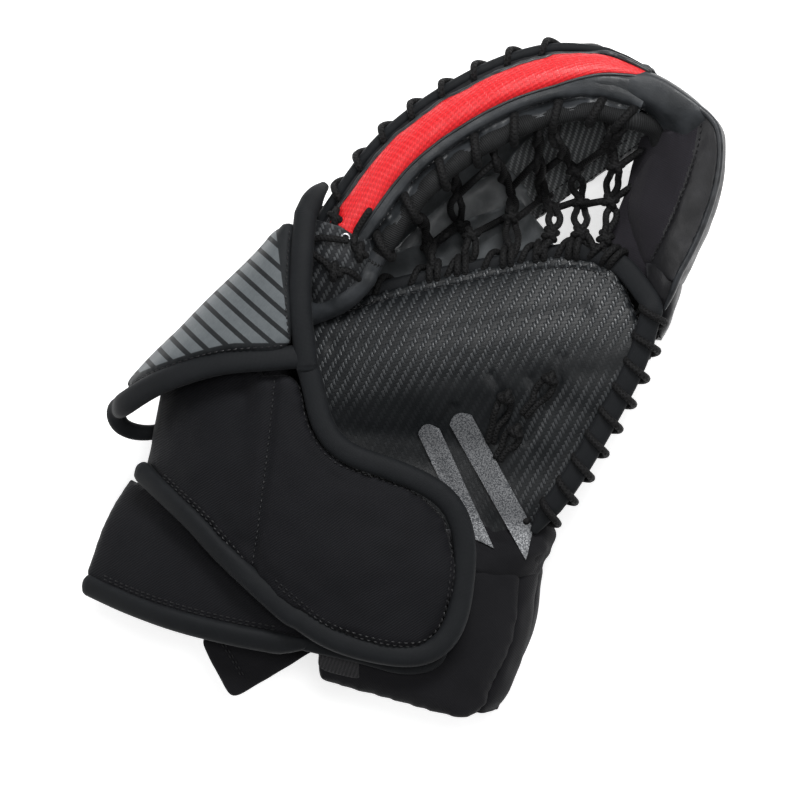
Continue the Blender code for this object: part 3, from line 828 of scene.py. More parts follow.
def widen_band(points):
    """Brings the thumb board out to its bound edge."""
    tree = tree_of(curve(centre_line(*OUTER_BINDING), 1.5))
    moved = points.copy()
    for k, point in enumerate(points):
        spot, _, away = tree.find(point)
        moved[k] += unit(np.array(spot) - point) * max(0.0, min(away - 2.0, 7.0 * (20 - away) / 14))
    return moved


def reach_rim(points):
    """Raises the wall to the rim's foot and brings its near end over to the palm."""
    moved = points.copy()
    moved[:, 2] += 9.0 * np.clip((points[:, 2] - 30) / 15, 0, 1)
    near = np.clip((78 - points[:, 1]) / 24, 0, 1)
    moved[:, 0] -= 7.0 * near
    moved[:, 1] -= 12.0 * near
    return moved


def reach_mouth(points):
    """Lengthens the wrist pad at its open end."""
    moved = points.copy()
    mouth = -154 - 0.23 * (points[:, 0] + 46)
    near, left = np.clip(1 - (points[:, 1] - mouth) / 25, 0, 1), np.clip((62 - points[:, 0]) / 20, 0, 1)
    moved[:, 1] -= 5.0 * near * left
    return moved


# Each pad: its CAD nodes, the voxel, the rounds of smoothing, how far it may swell, an edit of its points.
PADS = {
    "palm_face": (("palm_skin", "palm_pad"), 3.0, 6, 2.2, widen_palm),
    "finger_rim": (("rim_pad",), 3.0, 8, 2.4, None),
    "thumb_band": (("thumb_board",), 2.6, 8, 1.6, widen_band),
    "wrist_wrap": (("wrap_base", "upper_wrap_flap"), 3.0, 7, 2.6, close_wrap),
    "cuff": (("cuff_board",), 3.0, 5, 1.8, None),
    "wrist_pad": (("wrist_side_pad", "wrist_back_pad"), 3.0, 24, 2.8, reach_mouth),
    "lower_wrap": (("lower_wrap_base", "lower_wrap_flap"), 2.6, 5, 1.4, None),
    "finger_board": (("finger_guard",), 3.4, 6, 2.4, None),
    "spine_strap": (("pocket_spine",), 2.8, 5, 1.5, None),
    "spine_pad": (("spine_base_pad",), 2.6, 5, 2.0, None),
    "thumb_wall": (("thumb_guard",), 2.4, 4, 1.0, None),
    "finger_wall": (("finger_side_wall",), 2.4, 4, 1.0, reach_rim),
}


def start_pads():
    pads = {}
    for name, (nodes, voxel, rounds, cap, edit) in PADS.items():
        obj = solid_copy(name, nodes, edit)
        applied(obj, "REMESH", mode="VOXEL", voxel_size=voxel * MM)
        evened(obj, rounds)
        pads[name] = obj
    return pads


FRAMES = 20


def swell(pads):
    """Blows the pads up as cloth, and caps how far each point moves."""
    start = {name: (coords(obj), normals_of(obj)) for name, obj in pads.items()}
    for obj in pads.values():
        cloth = obj.modifiers.new("cloth", "CLOTH")
        cloth.settings.quality = 4
        cloth.settings.mass = 0.3
        cloth.settings.use_pressure = True
        cloth.settings.uniform_pressure_force = 4.0
        cloth.settings.effector_weights.gravity = 0.0
        cloth.point_cache.frame_start, cloth.point_cache.frame_end = 1, FRAMES
    for number in range(1, FRAMES + 1):
        scene.frame_set(number)
    graph = bpy.context.evaluated_depsgraph_get()
    for name, obj in pads.items():
        mesh = bpy.data.meshes.new_from_object(obj.evaluated_get(graph))
        obj.modifiers.clear()
        obj.data = mesh
        points, normals = start[name]
        cap = PADS[name][3]
        move = coords(obj) - points
        move = np.where(np.isfinite(move), move, 0)
        outward = (move * normals).sum(axis=1, keepdims=True)
        move += normals * (np.maximum(outward, cap * 0.45) - outward)
        size = np.linalg.norm(move, axis=1, keepdims=True)
        set_coords(obj, points + move * np.minimum(1, cap / np.maximum(size, 1e-6)))
        evened(obj, 3)
    scene.frame_set(1)


def groove(obj, paths, width=1.6, depth=1.2):
    """Presses sewn lines into a piece; a negative depth raises a ridge."""
    tree = tree_of(np.vstack(paths))
    points, normals = coords(obj), normals_of(obj)
    away = np.array([tree.find(p)[2] for p in points])
    set_coords(obj, points - normals * (depth * np.exp(-(away / width) ** 2))[:, None])


def draw_to(obj, path, reach, gap):
    """Draws a surface out to a trim line: points within reach of the line end up about gap away from it."""
    tree = tree_of(path)
    points = coords(obj)
    for k, point in enumerate(points):
        spot, _, away = tree.find(point)
        share = min(1.0, max(0.0, 2 * (reach - away) / reach))
        points[k] += unit(np.array(spot) - point) * max(0.0, away - gap) * share
    set_coords(obj, points)


def ripple(obj, height, size, stretch=(1, 1, 1), where=None):
    """Soft folds and wrinkles from smooth noise. Where limits them with a weight for each point."""
    points, normals = coords(obj), normals_of(obj)
    lift = np.array([noise.noise(Vector(p * stretch / size)) for p in points]) * height
    if where is not None:
        lift = lift * where(points)
    set_coords(obj, points + normals * lift[:, None])


top_edge = centre_line("palm_top_roll", 4.2, (-46, 53, 60))
side_edge = centre_line("palm_side_binding", 3.6, (146, 56, 95))
palm_edge = softened(curve(np.vstack([top_edge, side_edge]), 1.5), 16)
pads = start_pads()
swell(pads)
for pad in pads.values():
    applied(pad, "SUBSURF", levels=1)


# ---- shared pieces of trim ----

def custom_blend(obj, share_of):
    """Bakes the piece's placement into its mesh and works out a weight for each point with share_of; the
    weights are not used.
    """
    points = coords(obj)
    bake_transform(obj)
    weights = np.array([share_of(p) for p in points], np.float32)


def eased(value, low, high):
    t = min(1.0, max(0.0, (value - low) / (high - low)))
    return t * t * (3 - 2 * t)


STEPS_PER_TURN = 20


def whip(path, half_width, half_height, turns, start, end, quick):
    """The path of a lace whipped round an edge: quick across the face, slow on the way back underneath."""
    turn, phase = np.divmod(np.arange(turns * STEPS_PER_TURN + 1) / STEPS_PER_TURN, 1.0)
    share = np.where(phase < 0.5, phase * 2 * quick, quick + (phase - 0.5) * 2 * (1 - quick))
    at = start + (end - start) * np.minimum(1.0, (turn + share) / turns)
    run = np.linspace(0, 1, len(path))
    centre, side, up = (sampled(values, run, at) for values in (path, *upright_frames(path, UP)))
    angle = (math.pi * (1 - 2 * phase))[:, None]
    return centre + side * np.cos(angle) * half_width + up * np.sin(angle) * half_height


def loop_round(centre, ahead, radius, up=UP, squeeze=1.0, twist=0.0):
    """One ring of lace round a roll."""
    side = unit(np.cross(up, ahead))
    top = np.cross(ahead, side)
    angle = np.linspace(0, 2 * math.pi, 17)
    c, s = np.cos(angle)[:, None], np.sin(angle)[:, None]
    return centre + side * c * radius + top * s * radius * squeeze + ahead * c * twist


def cloth_sheet(name, nodes, material, body, height=0.5, size=14, levels=2):
    """A thin CAD sheet as cloth: its corners are rounded by subdivision and its faces rippled."""
    obj = solid_copy(name, nodes)
    bm = bmesh.new()
    bm.from_mesh(obj.data)
    bmesh.ops.join_triangles(bm, faces=bm.faces, angle_face_threshold=0.7, angle_shape_threshold=1.2)
    bm.to_mesh(obj.data)
    bm.free()
    applied(obj, "SUBSURF", levels=levels)
    ripple(obj, height, size)
    obj.data.shade_smooth()
    return dress(obj, material, body, nodes)


def finish_pad(name, material, body):
    obj = pads[name]
    obj.name = obj.data.name = name
    obj.data.shade_smooth()
    return dress(obj, material, body, PADS[name][0])


def edge_band(name, path, width, height, body, nodes, inward, up=UP, scale=None):
    """A bound edge: a flattened roll, moved inward, to the right of its path."""
    side, _ = upright_frames(path, up)
    band = Shape().sweep(path - side * inward, pillow(width, height, 22, 2.4), up=up, scale=scale)
    return band.piece(name, "binding", body, nodes)


def patch(name, material, body, rows, counts, thickness, folds=None):
    """A sheet drawn over rows of points. Counts are its points along the rows and across them."""
    grid = across([along(row, counts[0]) for row in rows], counts[1])
    obj = Shape().sheet(grid, thickness).piece(name, material, body)
    if folds:
        ripple(obj, *folds)
    return obj


def sewn(name, body, *lines, **settings):
    """Rows of stitches along (path, normals) lines."""
    thread = Shape()
    for line in lines:
        thread.stitches(*line, **settings)
    return thread.piece(name, "thread", body)


def beside(surface, path, offsets, up=UP):
    """Lines for stitches on a surface beside an edge, to the right of its path."""
    side, _ = upright_frames(path, up)
    return [surface.trace((path - side * offset)[::4, :2]) for offset in offsets]


def sewn_wall(name, line, body):
    """Presses a seam into a wall and sews a row of stitches on each side of it."""
    seam, _ = Skin(pads[name]).near(line)
    groove(pads[name], [seam], 1.6, 1.2)
    finish_pad(name, "black_leather", body)
    surface = Skin(pads[name])
    sewn(name + "_stitches", body, *[surface.near(seam[::8] + UP * drop) for drop in (-2.6, 2.6)])
    return surface


# ---- palm ----

palm = pads["palm_face"]
palm_surface = Skin(palm)
EDGE_SEAM = [(-44, 46), (-12, 58), (38, 69), (80, 77), (112, 76), (130, 64), (139, 50), (139, 42), (134, 22),
             (126, 7), (117, -8), (106, -25), (97, -40), (87.5, -56), (78, -68)]
CREASES = [
    [(-38, 30), (-10, 34), (30, 40), (70, 47), (104, 52)],
    [(52, 14), (58, 3), (60, -10), (55, -24)],
    [(74, 12), (80, 0), (79, -14), (72, -24)],
    [(92, 24), (90, 8), (84, -6)],
    [(30, -4), (22, -18), (20, -34)],
]
groove(palm, [palm_surface.trace(EDGE_SEAM)[0]], 1.5, 1.1)
groove(palm, [palm_surface.trace(CREASES[0])[0]], 5.0, 1.6)
groove(palm, [palm_surface.trace(line)[0] for line in CREASES[1:]], 2.6, 1.5)
low_palm = lambda p: np.clip(1 - (p[:, 1] - 12) / 22, 0, 1) * np.clip((p[:, 0] - 6) / 24, 0, 1)
ripple(palm, 1.3, 17, where=low_palm)
ripple(palm, 0.8, 30)
palm_surface = Skin(palm)
finish_pad("palm_face", "palm", "hand")

# The border is narrow along the pocket and grows wider towards the little finger's side.
run = np.linspace(0, 1, len(palm_edge))
wide = np.where(run > 0.5, 1.0, np.interp(palm_edge[:, 0], (60, 118), (0.0, 1.0)))
sections = np.array([pillow(8.2 + 4.2 * w, 7.0 - 0.6 * w, 22, 2.6) + (-1.2 - 0.6 * w, 0) for w in wide])
thin = np.interp(run, (0, 0.03, 0.95, 1), (0.5, 1, 1, 0.4))[:, None]
Shape().sweep(palm_edge + UP * 0.4, sections, up=UP, scale=thin).piece(
    "palm_border", "binding", "hand", ("palm_top_roll", "palm_side_binding"))
top_path = palm_edge[: len(palm_edge) // 2]
Shape().tube(whip(top_path, 5.2, 4.6, 8, 0.03, 0.99, 0.5), 1.9, 1.1).piece("palm_top_lace", "lace", "hand")
lace = Shape().tube(whip(curve(side_edge, 1.0), 7.6, 5.4, 9, 0.02, 0.99, 0.36), 2.1, 1.1)
lace.piece("palm_whip_lace", "lace", "hand", ("palm_side_lace",))
sewn("palm_stitches", "hand", palm_surface.trace([(x * 0.985 - 1.5, y * 0.985 - 1.0) for x, y in EDGE_SEAM]))

HEEL = [
    [(8, -62, 62), (45, -62, 62), (74, -58, 62), (82, -54, 54), (84, -52, 40)],
    [(8, -78, 66), (45, -78, 68), (77, -74, 67), (88, -72, 58), (88, -68, 40)],
    [(8, -92, 74), (44, -91, 76), (76, -88, 73), (87, -85, 60), (86, -82, 40)],
    [(8, -106, 73), (44, -104, 74), (71, -101, 68), (80, -99, 57), (79, -96, 40)],
]
heel = patch("heel_gusset", "canvas", None, HEEL, (70, 34), 2.0, (1.8, 12, (0.6, 1.5, 1)))
ripple(heel, 0.6, 6)
custom_blend(heel, lambda p: eased(-p[1] - 0.1 * p[0], 62, 92))
palm_surface = Skin(palm, heel)

# The corners of each strip: its left side's two ends, then its right side's. The upper end is rounded.
STRIPS = {
    "reflective_strip_inner": ((10.3, -19.5), (37.6, -77.0), (22.6, -16.5), (53.8, -84.8)),
    "reflective_strip_outer": ((28.4, -14.2), (72.0, -91.5), (40.8, -9.0), (76.4, -74.0)),
}
for name, corners in STRIPS.items():
    a0, a1, b0, b1 = np.array(corners)
    rows = []
    for u in np.linspace(0, 1, 40):
        left, right = a0 + u * (a1 - a0), b0 + u * (b1 - b0)
        row = []
        for v in np.linspace(0, 1, 8):
            rounding = unit(a1 - a0) * 4.0 * (1 - (2 * v - 1) ** 2) * (1 - u) ** 8
            point, _ = palm_surface.down(*(left + v * (right - left) - rounding))
            row.append(point + UP * 1.4)
        rows.append(row)
    grid = np.array(rows)
    grid[..., 2] = np.maximum(softened(grid[..., 2], 12), grid[..., 2] - 0.5)
    Shape().sheet(grid, 0.9).piece(name, "reflective", "hand", (name,))

# Short laces, each a pair of strands that start from a knot and spread.
cinch = Shape()
for line in ([(61.4, 3.5, -1.5), (60, -1, 2.0), (57, -8, 2.2), (53.5, -16, 2.2), (52, -23, 2.0)],
             [(67, -16.5, -1.5), (65.5, -20, 2.0), (61, -26, 2.2), (56.5, -33, 2.0)],
             [(86, 13.5, -1.5), (84, 9, 2.0), (79, 2, 2.2), (71.5, -7.5, 2.0)]):
    middle, normals = palm_surface.trace(line, 1.3, 1.5)
    share = np.linspace(0, 1, len(middle))[:, None]
    side = unit(np.cross(normals, headings(middle)))
    for sign in (-1, 1):
        spread = sign * (1.6 + 2.6 * np.sin(math.pi * np.minimum(share * 1.5, 1)) * (share < 0.67))
        cinch.tube(middle + side * spread, 1.9, 1.1)
    cinch.tube(loop_round(middle[1] + normals[1], unit(middle[3] - middle[1]), 3.4, squeeze=0.7), 2.1, 1.0)
    cinch.tube(loop_round(middle[0] + normals[0] * 1.4, unit(side[0]), 2.6, squeeze=0.8), 2.1, 1.0)
cinch.piece("palm_cinch", "lace", "hand", ("palm_cinch_lace",))

for name, material in (("palm_liner", "lining"), ("pinky_gusset", "canvas"), ("pocket_gusset", "canvas")):
    cloth_sheet(name + "_cloth", (name,), material, "hand")
for name in ("index_stall", "middle_stall", "ring_stall", "little_stall"):
    cloth_sheet(name + "_cloth", (name,), "lining", "hand", 0.6, 9)


# ---- finger rim ----

rim = pads["finger_rim"]
ridge = curve(centre_line("rim_piping", 1.8, (163, 168, 117)), 1.2)
rim_surface = Skin(rim)
PANEL_SEAM = [(160, 163), (168, 157), (165, 136.5), (157.3, 113.6), (148.2, 92.3), (142.9, 81.1), (141, 74)]
groove(rim, [rim_surface.trace(PANEL_SEAM)[0]], 1.6, 1.2)
draw_to(rim, ridge - UP * 1.5, 15.0, 1.2)
ripple(rim, 0.9, 9, (1, 0.45, 1), where=lambda p: np.clip((p[:, 0] - 150) / 20, 0, 1))
ripple(rim, 0.7, 22)
rim_surface = Skin(rim)
finish_pad("finger_rim", "suede", "hand")
# Beyond the seam, and low down, the rim is black leather.
rim.data.materials.append(MATERIALS["black_leather"])
seam_x, seam_y = np.array(PANEL_SEAM[::-1]).T
for face in rim.data.polygons:
    middle = face.center / MM
    if middle.x > np.interp(middle.y, seam_y, seam_x) or middle.z < 60:
        face.material_index = 1
piping = np.vstack([ridge[:-2:5] + (0.4, 0, -1.2), [(153.5, 59, 100), (150.5, 52, 95)]])
Shape().tube(piping, 1.9, 1.2, taper=lambda t: np.interp(t, (0, 0.9, 1), (1, 1, 0.5))).piece(
    "rim_piping_roll", "piping", "hand", ("rim_piping",))
sewn("rim_stitches", "hand", rim_surface.trace([(x + 1.6, y + 0.5) for x, y in PANEL_SEAM]))
PANEL = [
    [(138, 150, 80), (133, 135, 72), (129, 119, 67), (123, 102, 66), (118, 88, 71), (124, 74, 74)],
    [(144, 151, 90), (140, 135, 83), (137, 119, 78), (132, 102, 74), (128, 84, 76), (132, 66, 78)],
    [(151, 152, 101), (149, 135, 97), (147, 119, 92), (143, 99, 85), (139, 76, 84), (140, 58, 83)],
    [(158, 152, 106.5), (158, 135, 106), (155, 118, 102), (150, 94, 95), (147, 70, 91), (146, 52, 87)],
]
patch("rim_inner_panel", "suede", "hand", PANEL, (60, 36), 2.2, (0.7, 18))
TAIL = [
    [(140, 78, 88), (141, 68, 88), (143, 56, 85), (145, 45, 81), (146, 38, 76)],
    [(150, 76, 101), (149, 64, 98), (149, 54, 93), (148.5, 44, 86), (148, 37, 79)],
    [(159, 74, 101), (157, 62, 97), (155, 51, 91), (152, 41, 83), (149.5, 35, 76)],
    [(162, 74, 84), (160, 61, 80), (156.5, 50, 75), (153, 40, 70), (149.5, 34, 66)],
    [(156, 74, 62), (155, 61, 60), (152.5, 50, 58), (150, 40, 56), (147, 34, 54)],
]
patch("rim_tail", "black_leather", "hand", TAIL, (44, 34), 2.4, (0.8, 12))
ripple(pads["finger_wall"], 0.8, 14)
WALL_SEAM = [(154, 50, 46), (166, 78, 38), (175, 103, 37), (179, 127, 38), (178, 143, 46)]
sewn_wall("finger_wall", WALL_SEAM, "hand")
joint = [(147.5, 47, 62), (146, 45, 40), (141, 44, 20), (137, 43, 5)]
Shape().tube(joint, 3.2, taper=lambda t: np.interp(t, (0, 0.8, 1), (1, 1, 0.8))).piece(
    "wall_joint_piping", "binding", "hand")
PALM_CORNER = [
    [(112, 78, 74), (128, 67, 74), (139, 54, 73), (144, 40, 72), (141, 24, 72)],
    [(112, 74, 62), (127, 64, 60), (139, 52, 60), (143.5, 40, 60), (140, 24, 60)],
    [(111, 70, 44), (126, 61, 40), (139, 50, 38), (142.5, 42, 38), (139, 32, 38)],
    [(110, 66, 24), (125, 58, 16), (137, 49, 10), (140, 43, 9), (137, 35, 10)],
]
patch("palm_corner_wall", "black_leather", "hand", PALM_CORNER, (40, 24), 2.6)


# ---- thumb band ----

band = pads["thumb_band"]
band_surface = Skin(band)
COUNT = 240
run = np.linspace(0, 1, COUNT)
outer, inner = (sampled(path, np.linspace(0, 1, len(path)), run) for path in (
    curve(centre_line(*OUTER_BINDING), 1.0), curve(centre_line("thumb_inner_roll", 5.0, (-16, 80, 86)), 1.0)))


def on_band(share, lift=0.0, first=0.0, last=1.0):
    """A path along the thumb band: share 0 is the outer binding, 1 the inner roll."""
    keep = slice(int(first * (COUNT - 1)), int(last * (COUNT - 1)) + 1)
    share = np.broadcast_to(np.array(share, float), (COUNT,))[keep, None]
    spots = outer[keep] * (1 - share) + inner[keep] * share
    points, normals = zip(*(band_surface.down(x, y) for x, y, _ in spots))
    points, normals = softened(np.array(points), 4), unit(softened(np.array(normals), 8))
    return points + normals * lift, normals


# The red stripe narrows to a point at the end of the band.
narrow = np.clip((1.0 - run) / 0.25, 0, 1) ** 0.8
stripe_middle = 0.37 - 0.07 * np.clip((run - 0.7) / 0.3, 0, 1)
stripe_out, stripe_in = stripe_middle - 0.25 * narrow, stripe_middle + 0.20 * narrow
INNER_SEAM = 0.79
groove(band, [on_band(stripe_out - 0.015)[0], on_band(stripe_in + 0.02)[0]], 1.5, 0.9)
groove(band, [on_band(INNER_SEAM)[0]], 1.4, 0.9)
ripple(band, 0.5, 16)
band_surface = Skin(band)
finish_pad("thumb_band", "leather", "thumb")
lines = [on_band(stripe_out + v * (stripe_in - stripe_out), 0.9 + 0.7 * (1 - (2 * v - 1) ** 4), 0.0, 0.985)[0]
         for v in np.linspace(0, 1, 15)]
grid = np.array(lines).transpose(1, 0, 2)
grid[..., 2] = softened(grid[..., 2], 12)
Shape().sheet(grid, 1.4).piece("thumb_red_stripe", "red", "thumb", ("thumb_stripe",))
for name, share, radius in (("thumb_piping_outer", stripe_out - 0.035, 1.5),
                            ("thumb_piping_inner", stripe_in + 0.02, 1.0)):
    path, _ = on_band(share, radius * 0.7, 0.0, 0.99)
    Shape().sweep(path, circle(radius, 12)).piece(name, "piping", "thumb")
thread = Shape()
thread.stitches(*on_band(0.77, 0.1, 0.02, 0.97))
thread.stitches(*on_band(stripe_out - 0.015, 0.3, 0.02, 0.95), length=1.9, gap=1.6, radius=0.3)
thread.piece("thumb_stitches", "thread", "thumb")
pull = np.array([eased(t, 0.70, 1.0) for t in run])[:, None]
tape_path = outer * (1 - pull) + (on_band(stripe_out - 0.05)[0] - UP * 1.5) * pull
Shape().sweep(tape_path, pillow(6.2, 6.6, 16, 2.2), up=UP, scale=(1 - 0.45 * pull)).piece(
    "thumb_outer_tape", "binding", "thumb", ("thumb_outer_binding",))
side, _ = upright_frames(inner, UP)
strip = across([on_band(stripe_in + 0.03, 0.7)[0], on_band(np.maximum(stripe_in + 0.07, 0.72), 1.1)[0],
                on_band(INNER_SEAM, 0.9)[0],
                inner + side * 3.6 + UP * 3.9, inner + side * 1.2 + UP * 5.0], 18)
Shape().sheet(strip, 1.5).piece("thumb_inner_strip", "leather", "thumb")
Shape().tube(whip(tape_path, 4.9, 5.0, 9, 0.03, 0.80, 0.30), 1.9, 1.0).piece(
    "thumb_whip_lace", "lace", "thumb", ("thumb_outer_lace",))

# The taped roll that the net hangs from, slightly uneven, and its two ends.
beat = 1 + 0.05 * np.sin(np.linspace(0, 60, COUNT)) + 0.04 * np.sin(np.linspace(0, 23, COUNT))
Shape().sweep(inner, circle(5.5, 18), scale=beat[:, None]).piece(
    "thumb_net_roll", "knit", "thumb", ("thumb_inner_roll",))
foot = np.vstack([inner[16:1:-7], [(-21, 68, 83), (-34, 57, 77), (-51, 51, 70)]])
foot_piece = Shape().tube(foot, 5.6, 1.2, 18, lambda t: 1 + 0.5 * t).piece("thumb_roll_foot", "leather")
custom_blend(foot_piece, lambda p: eased(p[1], 52, 76))
end = np.vstack([inner[-10], inner[-1] + (0, 0.5, 0), (145, 154, 94), (149, 143, 84)])
end_piece = Shape().tube(end, 5.6, 1.2, 18).piece("thumb_roll_end", "knit")
custom_blend(end_piece, lambda p: 1 - eased(p[0] - 0.5 * p[1], 58, 74))

# The pocket's wall hangs from the roll down to the spine. Its leather is the black leather painted lighter, a
# painted light.
spine_skin = Skin(pads["spine_strap"], pads["spine_pad"])
low = np.array([spine_skin.nearest(p - UP * 58) for p in inner])
low = softened(low, 40) - UP * 1.5
mid = (inner + low) / 2 + side * 5 - UP * 8
wall_rows = [inner + side * 1.0 - UP * 3.5, inner * 0.7 + low * 0.3 + side * 4, mid, low]
pocket_wall = Shape().sheet(across([row[4:-6] for row in wall_rows], 30), 2.0).piece("pocket_wall", "pocket")
ripple(pocket_wall, 1.2, 18)
low_tree, roll_tree = tree_of(low), tree_of(inner)


def wall_share(p):
    """A weight for the pocket's wall: 1 at the roll, which is on the thumb, falling to one half at its foot
    by the spine, which turns half as far.
    """
    a, b = roll_tree.find(p)[2], low_tree.find(p)[2]
    return 1 - 0.5 * eased(a / (a + b), 0.1, 0.9)


custom_blend(pocket_wall, wall_share)

# The pocket's base wears the same lighter copy of the black leather: painted light.
POCKET_BASE = [
    [(-40, 50, 56), (-12, 56, 60), (22, 62, 64), (62, 70, 68), (90, 74, 70)],
    [(-34, 58, 52), (-10, 68, 48), (24, 76, 44), (62, 86, 42), (88, 92, 46)],
    [(-30, 68, 46), (-10, 82, 36), (20, 94, 32), (48, 108, 31), (70, 116, 32)],
]
pocket_base = patch("pocket_base", "pocket", None, POCKET_BASE, (70, 30), 2.0, (1.4, 16))
custom_blend(pocket_base, lambda p: 0.5 * eased(p[1] - 0.25 * p[0], 58, 92))

BASE = [
    [(-61, 106, 78), (-61, 86, 78), (-60, 68, 74), (-57, 50, 68)],
    [(-50, 103, 90), (-49, 84, 91), (-48, 68, 88), (-46, 51, 76)],
    [(-36, 99, 97), (-35, 82, 96), (-35, 68, 91), (-35, 54, 79)],
    [(-24, 93, 98), (-24, 78, 94), (-26, 67, 87), (-29, 57, 78)],
    [(-17, 92, 92), (-16, 78, 86), (-19, 67, 79), (-24, 57, 71)],
]
base_patch = patch("thumb_base_patch", "carbon", None, BASE, (50, 36), 2.2, (1.4, 16))
custom_blend(base_patch, lambda p: eased(p[1], 50, 74))
loops = Shape()
for share in (0.10, 0.24, 0.38, 0.50, 0.63, 0.76, 0.88, 0.97):
    k = int(share * (COUNT - 1))
    ahead = unit(inner[k + 1] - inner[k - 1])
    loops.tube(loop_round(inner[k], ahead, 7.6, twist=3.5), 2.5, 1.0, 12)
loops.piece("thumb_roll_laces", "lace", "thumb")

# The outer wall is pulled in with the tape, and the skirt joins the band, the tape and the wall.
wall = pads["thumb_wall"]
ripple(wall, 0.7, 16)
pulled = (tape_path - outer) * (1, 1, 0)
outer_tree = tree_of(outer)
points = coords(wall)
set_coords(wall, points + np.array([pulled[outer_tree.find(p)[1]] for p in points]))
outline = outer + pulled
side, _ = upright_frames(outline, UP)
wall_skin = sewn_wall("thumb_wall", (outline + side * 10 - UP * 30)[4:-4:10], "thumb")
top = np.array([wall_skin.nearest(p) for p in outline + side * 5 - UP * 15])
top = softened(top, 20)
lines = [on_band(stripe_out - 0.03, -0.9)[0], tape_path + UP * 0.4, tape_path + side * 1.4 - UP * 5.5,
         top + side * 1.4 - UP * 1.0, top + side * 1.6 - UP * 9.0]
skirt = Shape().sheet(across(lines, 26), 1.8)
ripple(skirt.piece("thumb_skirt", "black_leather", "thumb"), 0.5, 12)
cloth_sheet("thumb_stall_cloth", ("thumb_stall",), "lining", "thumb", 0.6, 9)


# The corner leather joins the end of the thumb band to the rim.
CORNER = [
    [(112, 190, 84), (126, 190, 88), (143, 186, 88), (160, 177, 86), (172, 165, 84), (178, 152, 80)],
    [(112, 189.5, 96), (127, 188.5, 103), (144, 184.5, 108), (161, 174, 112.5), (173, 163, 114),
     (179, 150, 106)],
    [(112, 182, 103), (127, 182, 109), (143, 179, 112.5), (158, 170, 117), (169, 160, 118), (172, 147, 107)],
    [(112, 174, 101), (125, 174, 107), (138, 170, 110), (151, 162, 112.5), (160, 153, 111), (162, 139, 100)],
    [(112, 168, 94), (124, 169, 99), (135, 166, 100), (146, 158, 99), (152, 148, 96), (153, 136, 86)],
]
corner_piece = patch("corner_leather", "leather", None, CORNER, (40, 32), 2.2)
custom_blend(corner_piece, lambda p: 1 - eased(p[0] - 0.4 * p[1], 60, 100))

# The wall under the corner starts on the end of the thumb's wall.
CORNER_WALL = [
    [(126, 185.5, 91), (143, 182, 92), (158, 173.5, 92), (170, 161.5, 88), (176, 150, 84)],
    [(127, 184.5, 62), (144, 179.5, 60), (158, 170, 58), (168, 158, 57), (174, 147, 55)],
    [(122, 180, 42), (138, 172, 40), (152, 162, 38), (163, 151, 37), (170, 141, 36)],
    [(116, 171, 25), (131, 161, 24), (144, 151, 24), (156, 142, 25), (163, 134, 25)],
]
rows = []
for row in CORNER_WALL:
    height = row[0][2]
    beside_wall = lambda k: (*(outline[k] + side[k] * 12)[:2], height)
    spots = [(wall_skin.nearest(beside_wall(k)), side[k] * 1.2) for k in (-46, -24)]
    rows.append([spot + outward for spot, outward in spots] + row)
corner_wall = patch("corner_wall", "black_leather", None, rows, (80, 36), 2.2, (1.0, 16))
custom_blend(corner_wall, lambda p: 1 - eased(p[0] - 0.4 * p[1], 50, 98))


# ---- pocket net ----

net_points = np.array([tuple(v.co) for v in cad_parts["pocket_net"].data.vertices]) / MM


def net_height(x, y):
    """The height of the CAD net near (x, y)."""
    away = (net_points[:, 0] - x) ** 2 + (net_points[:, 1] - y) ** 2
    near = np.argsort(away)[:24]
    weight = 1 / (away[near] + 6.0)
    return float((net_points[near, 2] * weight).sum() / weight.sum())


# Each cord of the net: points (x, y) from the thumb roll down to the palm.
# A third number opens the cord into a lens.
CORDS = [
    [(3, 104), (12.4, 103.2), (14.3, 95.9), (16.9, 88.7), (20.2, 75.7)],
    [(28, 137), (32.3, 120.1), (32.3, 110, 3.2), (35.2, 101.2), (41, 94.7), (40.2, 85.2, 3.0), (37.6, 76)],
    [(50.4, 152), (54.8, 136.1), (63.5, 121.6), (65, 113, 2.0), (64.2, 105.6), (64.2, 94.7, 3.4), (66.4, 83)],
    [(76.6, 163), (78.8, 147), (80.3, 130.3), (83.8, 117.2), (87.5, 110.6), (88.2, 103.4, 3.2), (86.1, 94.7),
     (80, 84)],
    [(99, 169), (87.5, 151.4), (94.1, 140.4), (100.6, 131.7), (102, 123.7, 3.2), (104.3, 114),
     (103.5, 104.1, 3.6), (102.8, 95.4), (96.2, 86)],
    [(118, 166), (119, 154), (119.5, 145.6), (123.1, 133.2), (121.7, 123.7, 3.2), (120.2, 113.5),
     (121, 105.6, 2.8), (117.3, 92.5), (120.2, 80.1)],
    [(102.8, 95.4), (107, 91.5), (111, 86)],
    [(131.8, 163), (126, 153), (119.5, 145.6)],
]
# Single strands between the cords, from end to end, and the knots where they meet.
CROSSES = [
    [(22.8, 91.8), (33.7, 100.5)], [(16.9, 88.7), (32.7, 101.9)], [(41, 94.7), (62.1, 106.3)],
    [(65.7, 103.4), (83.7, 117.4)], [(88, 110), (103, 115)], [(104.4, 112.2), (120, 114.3)],
    [(120, 113.5), (133, 122.6)], [(100.8, 132.6), (119.8, 145.1)], [(121, 146.3), (133.8, 162.5)],
    [(123.6, 132.5), (137, 142)], [(54.8, 136.1), (34, 118)], [(79.6, 138), (63.5, 121.6)],
    [(80.5, 130), (94.1, 140.4)],
]
KNOTS = [(16.9, 88.7), (35.2, 101.2), (41, 94.7), (64.2, 105.6), (87.5, 110.6), (83.8, 117.2), (104.3, 113.5),
         (102.8, 95.4), (100.6, 131.7), (119.5, 145.6), (123.1, 133.2), (120.2, 113.5), (117.3, 92.5),
         (86.1, 94.7)]
TWIST, STRAND = 8.0, 2.05
net = Shape()
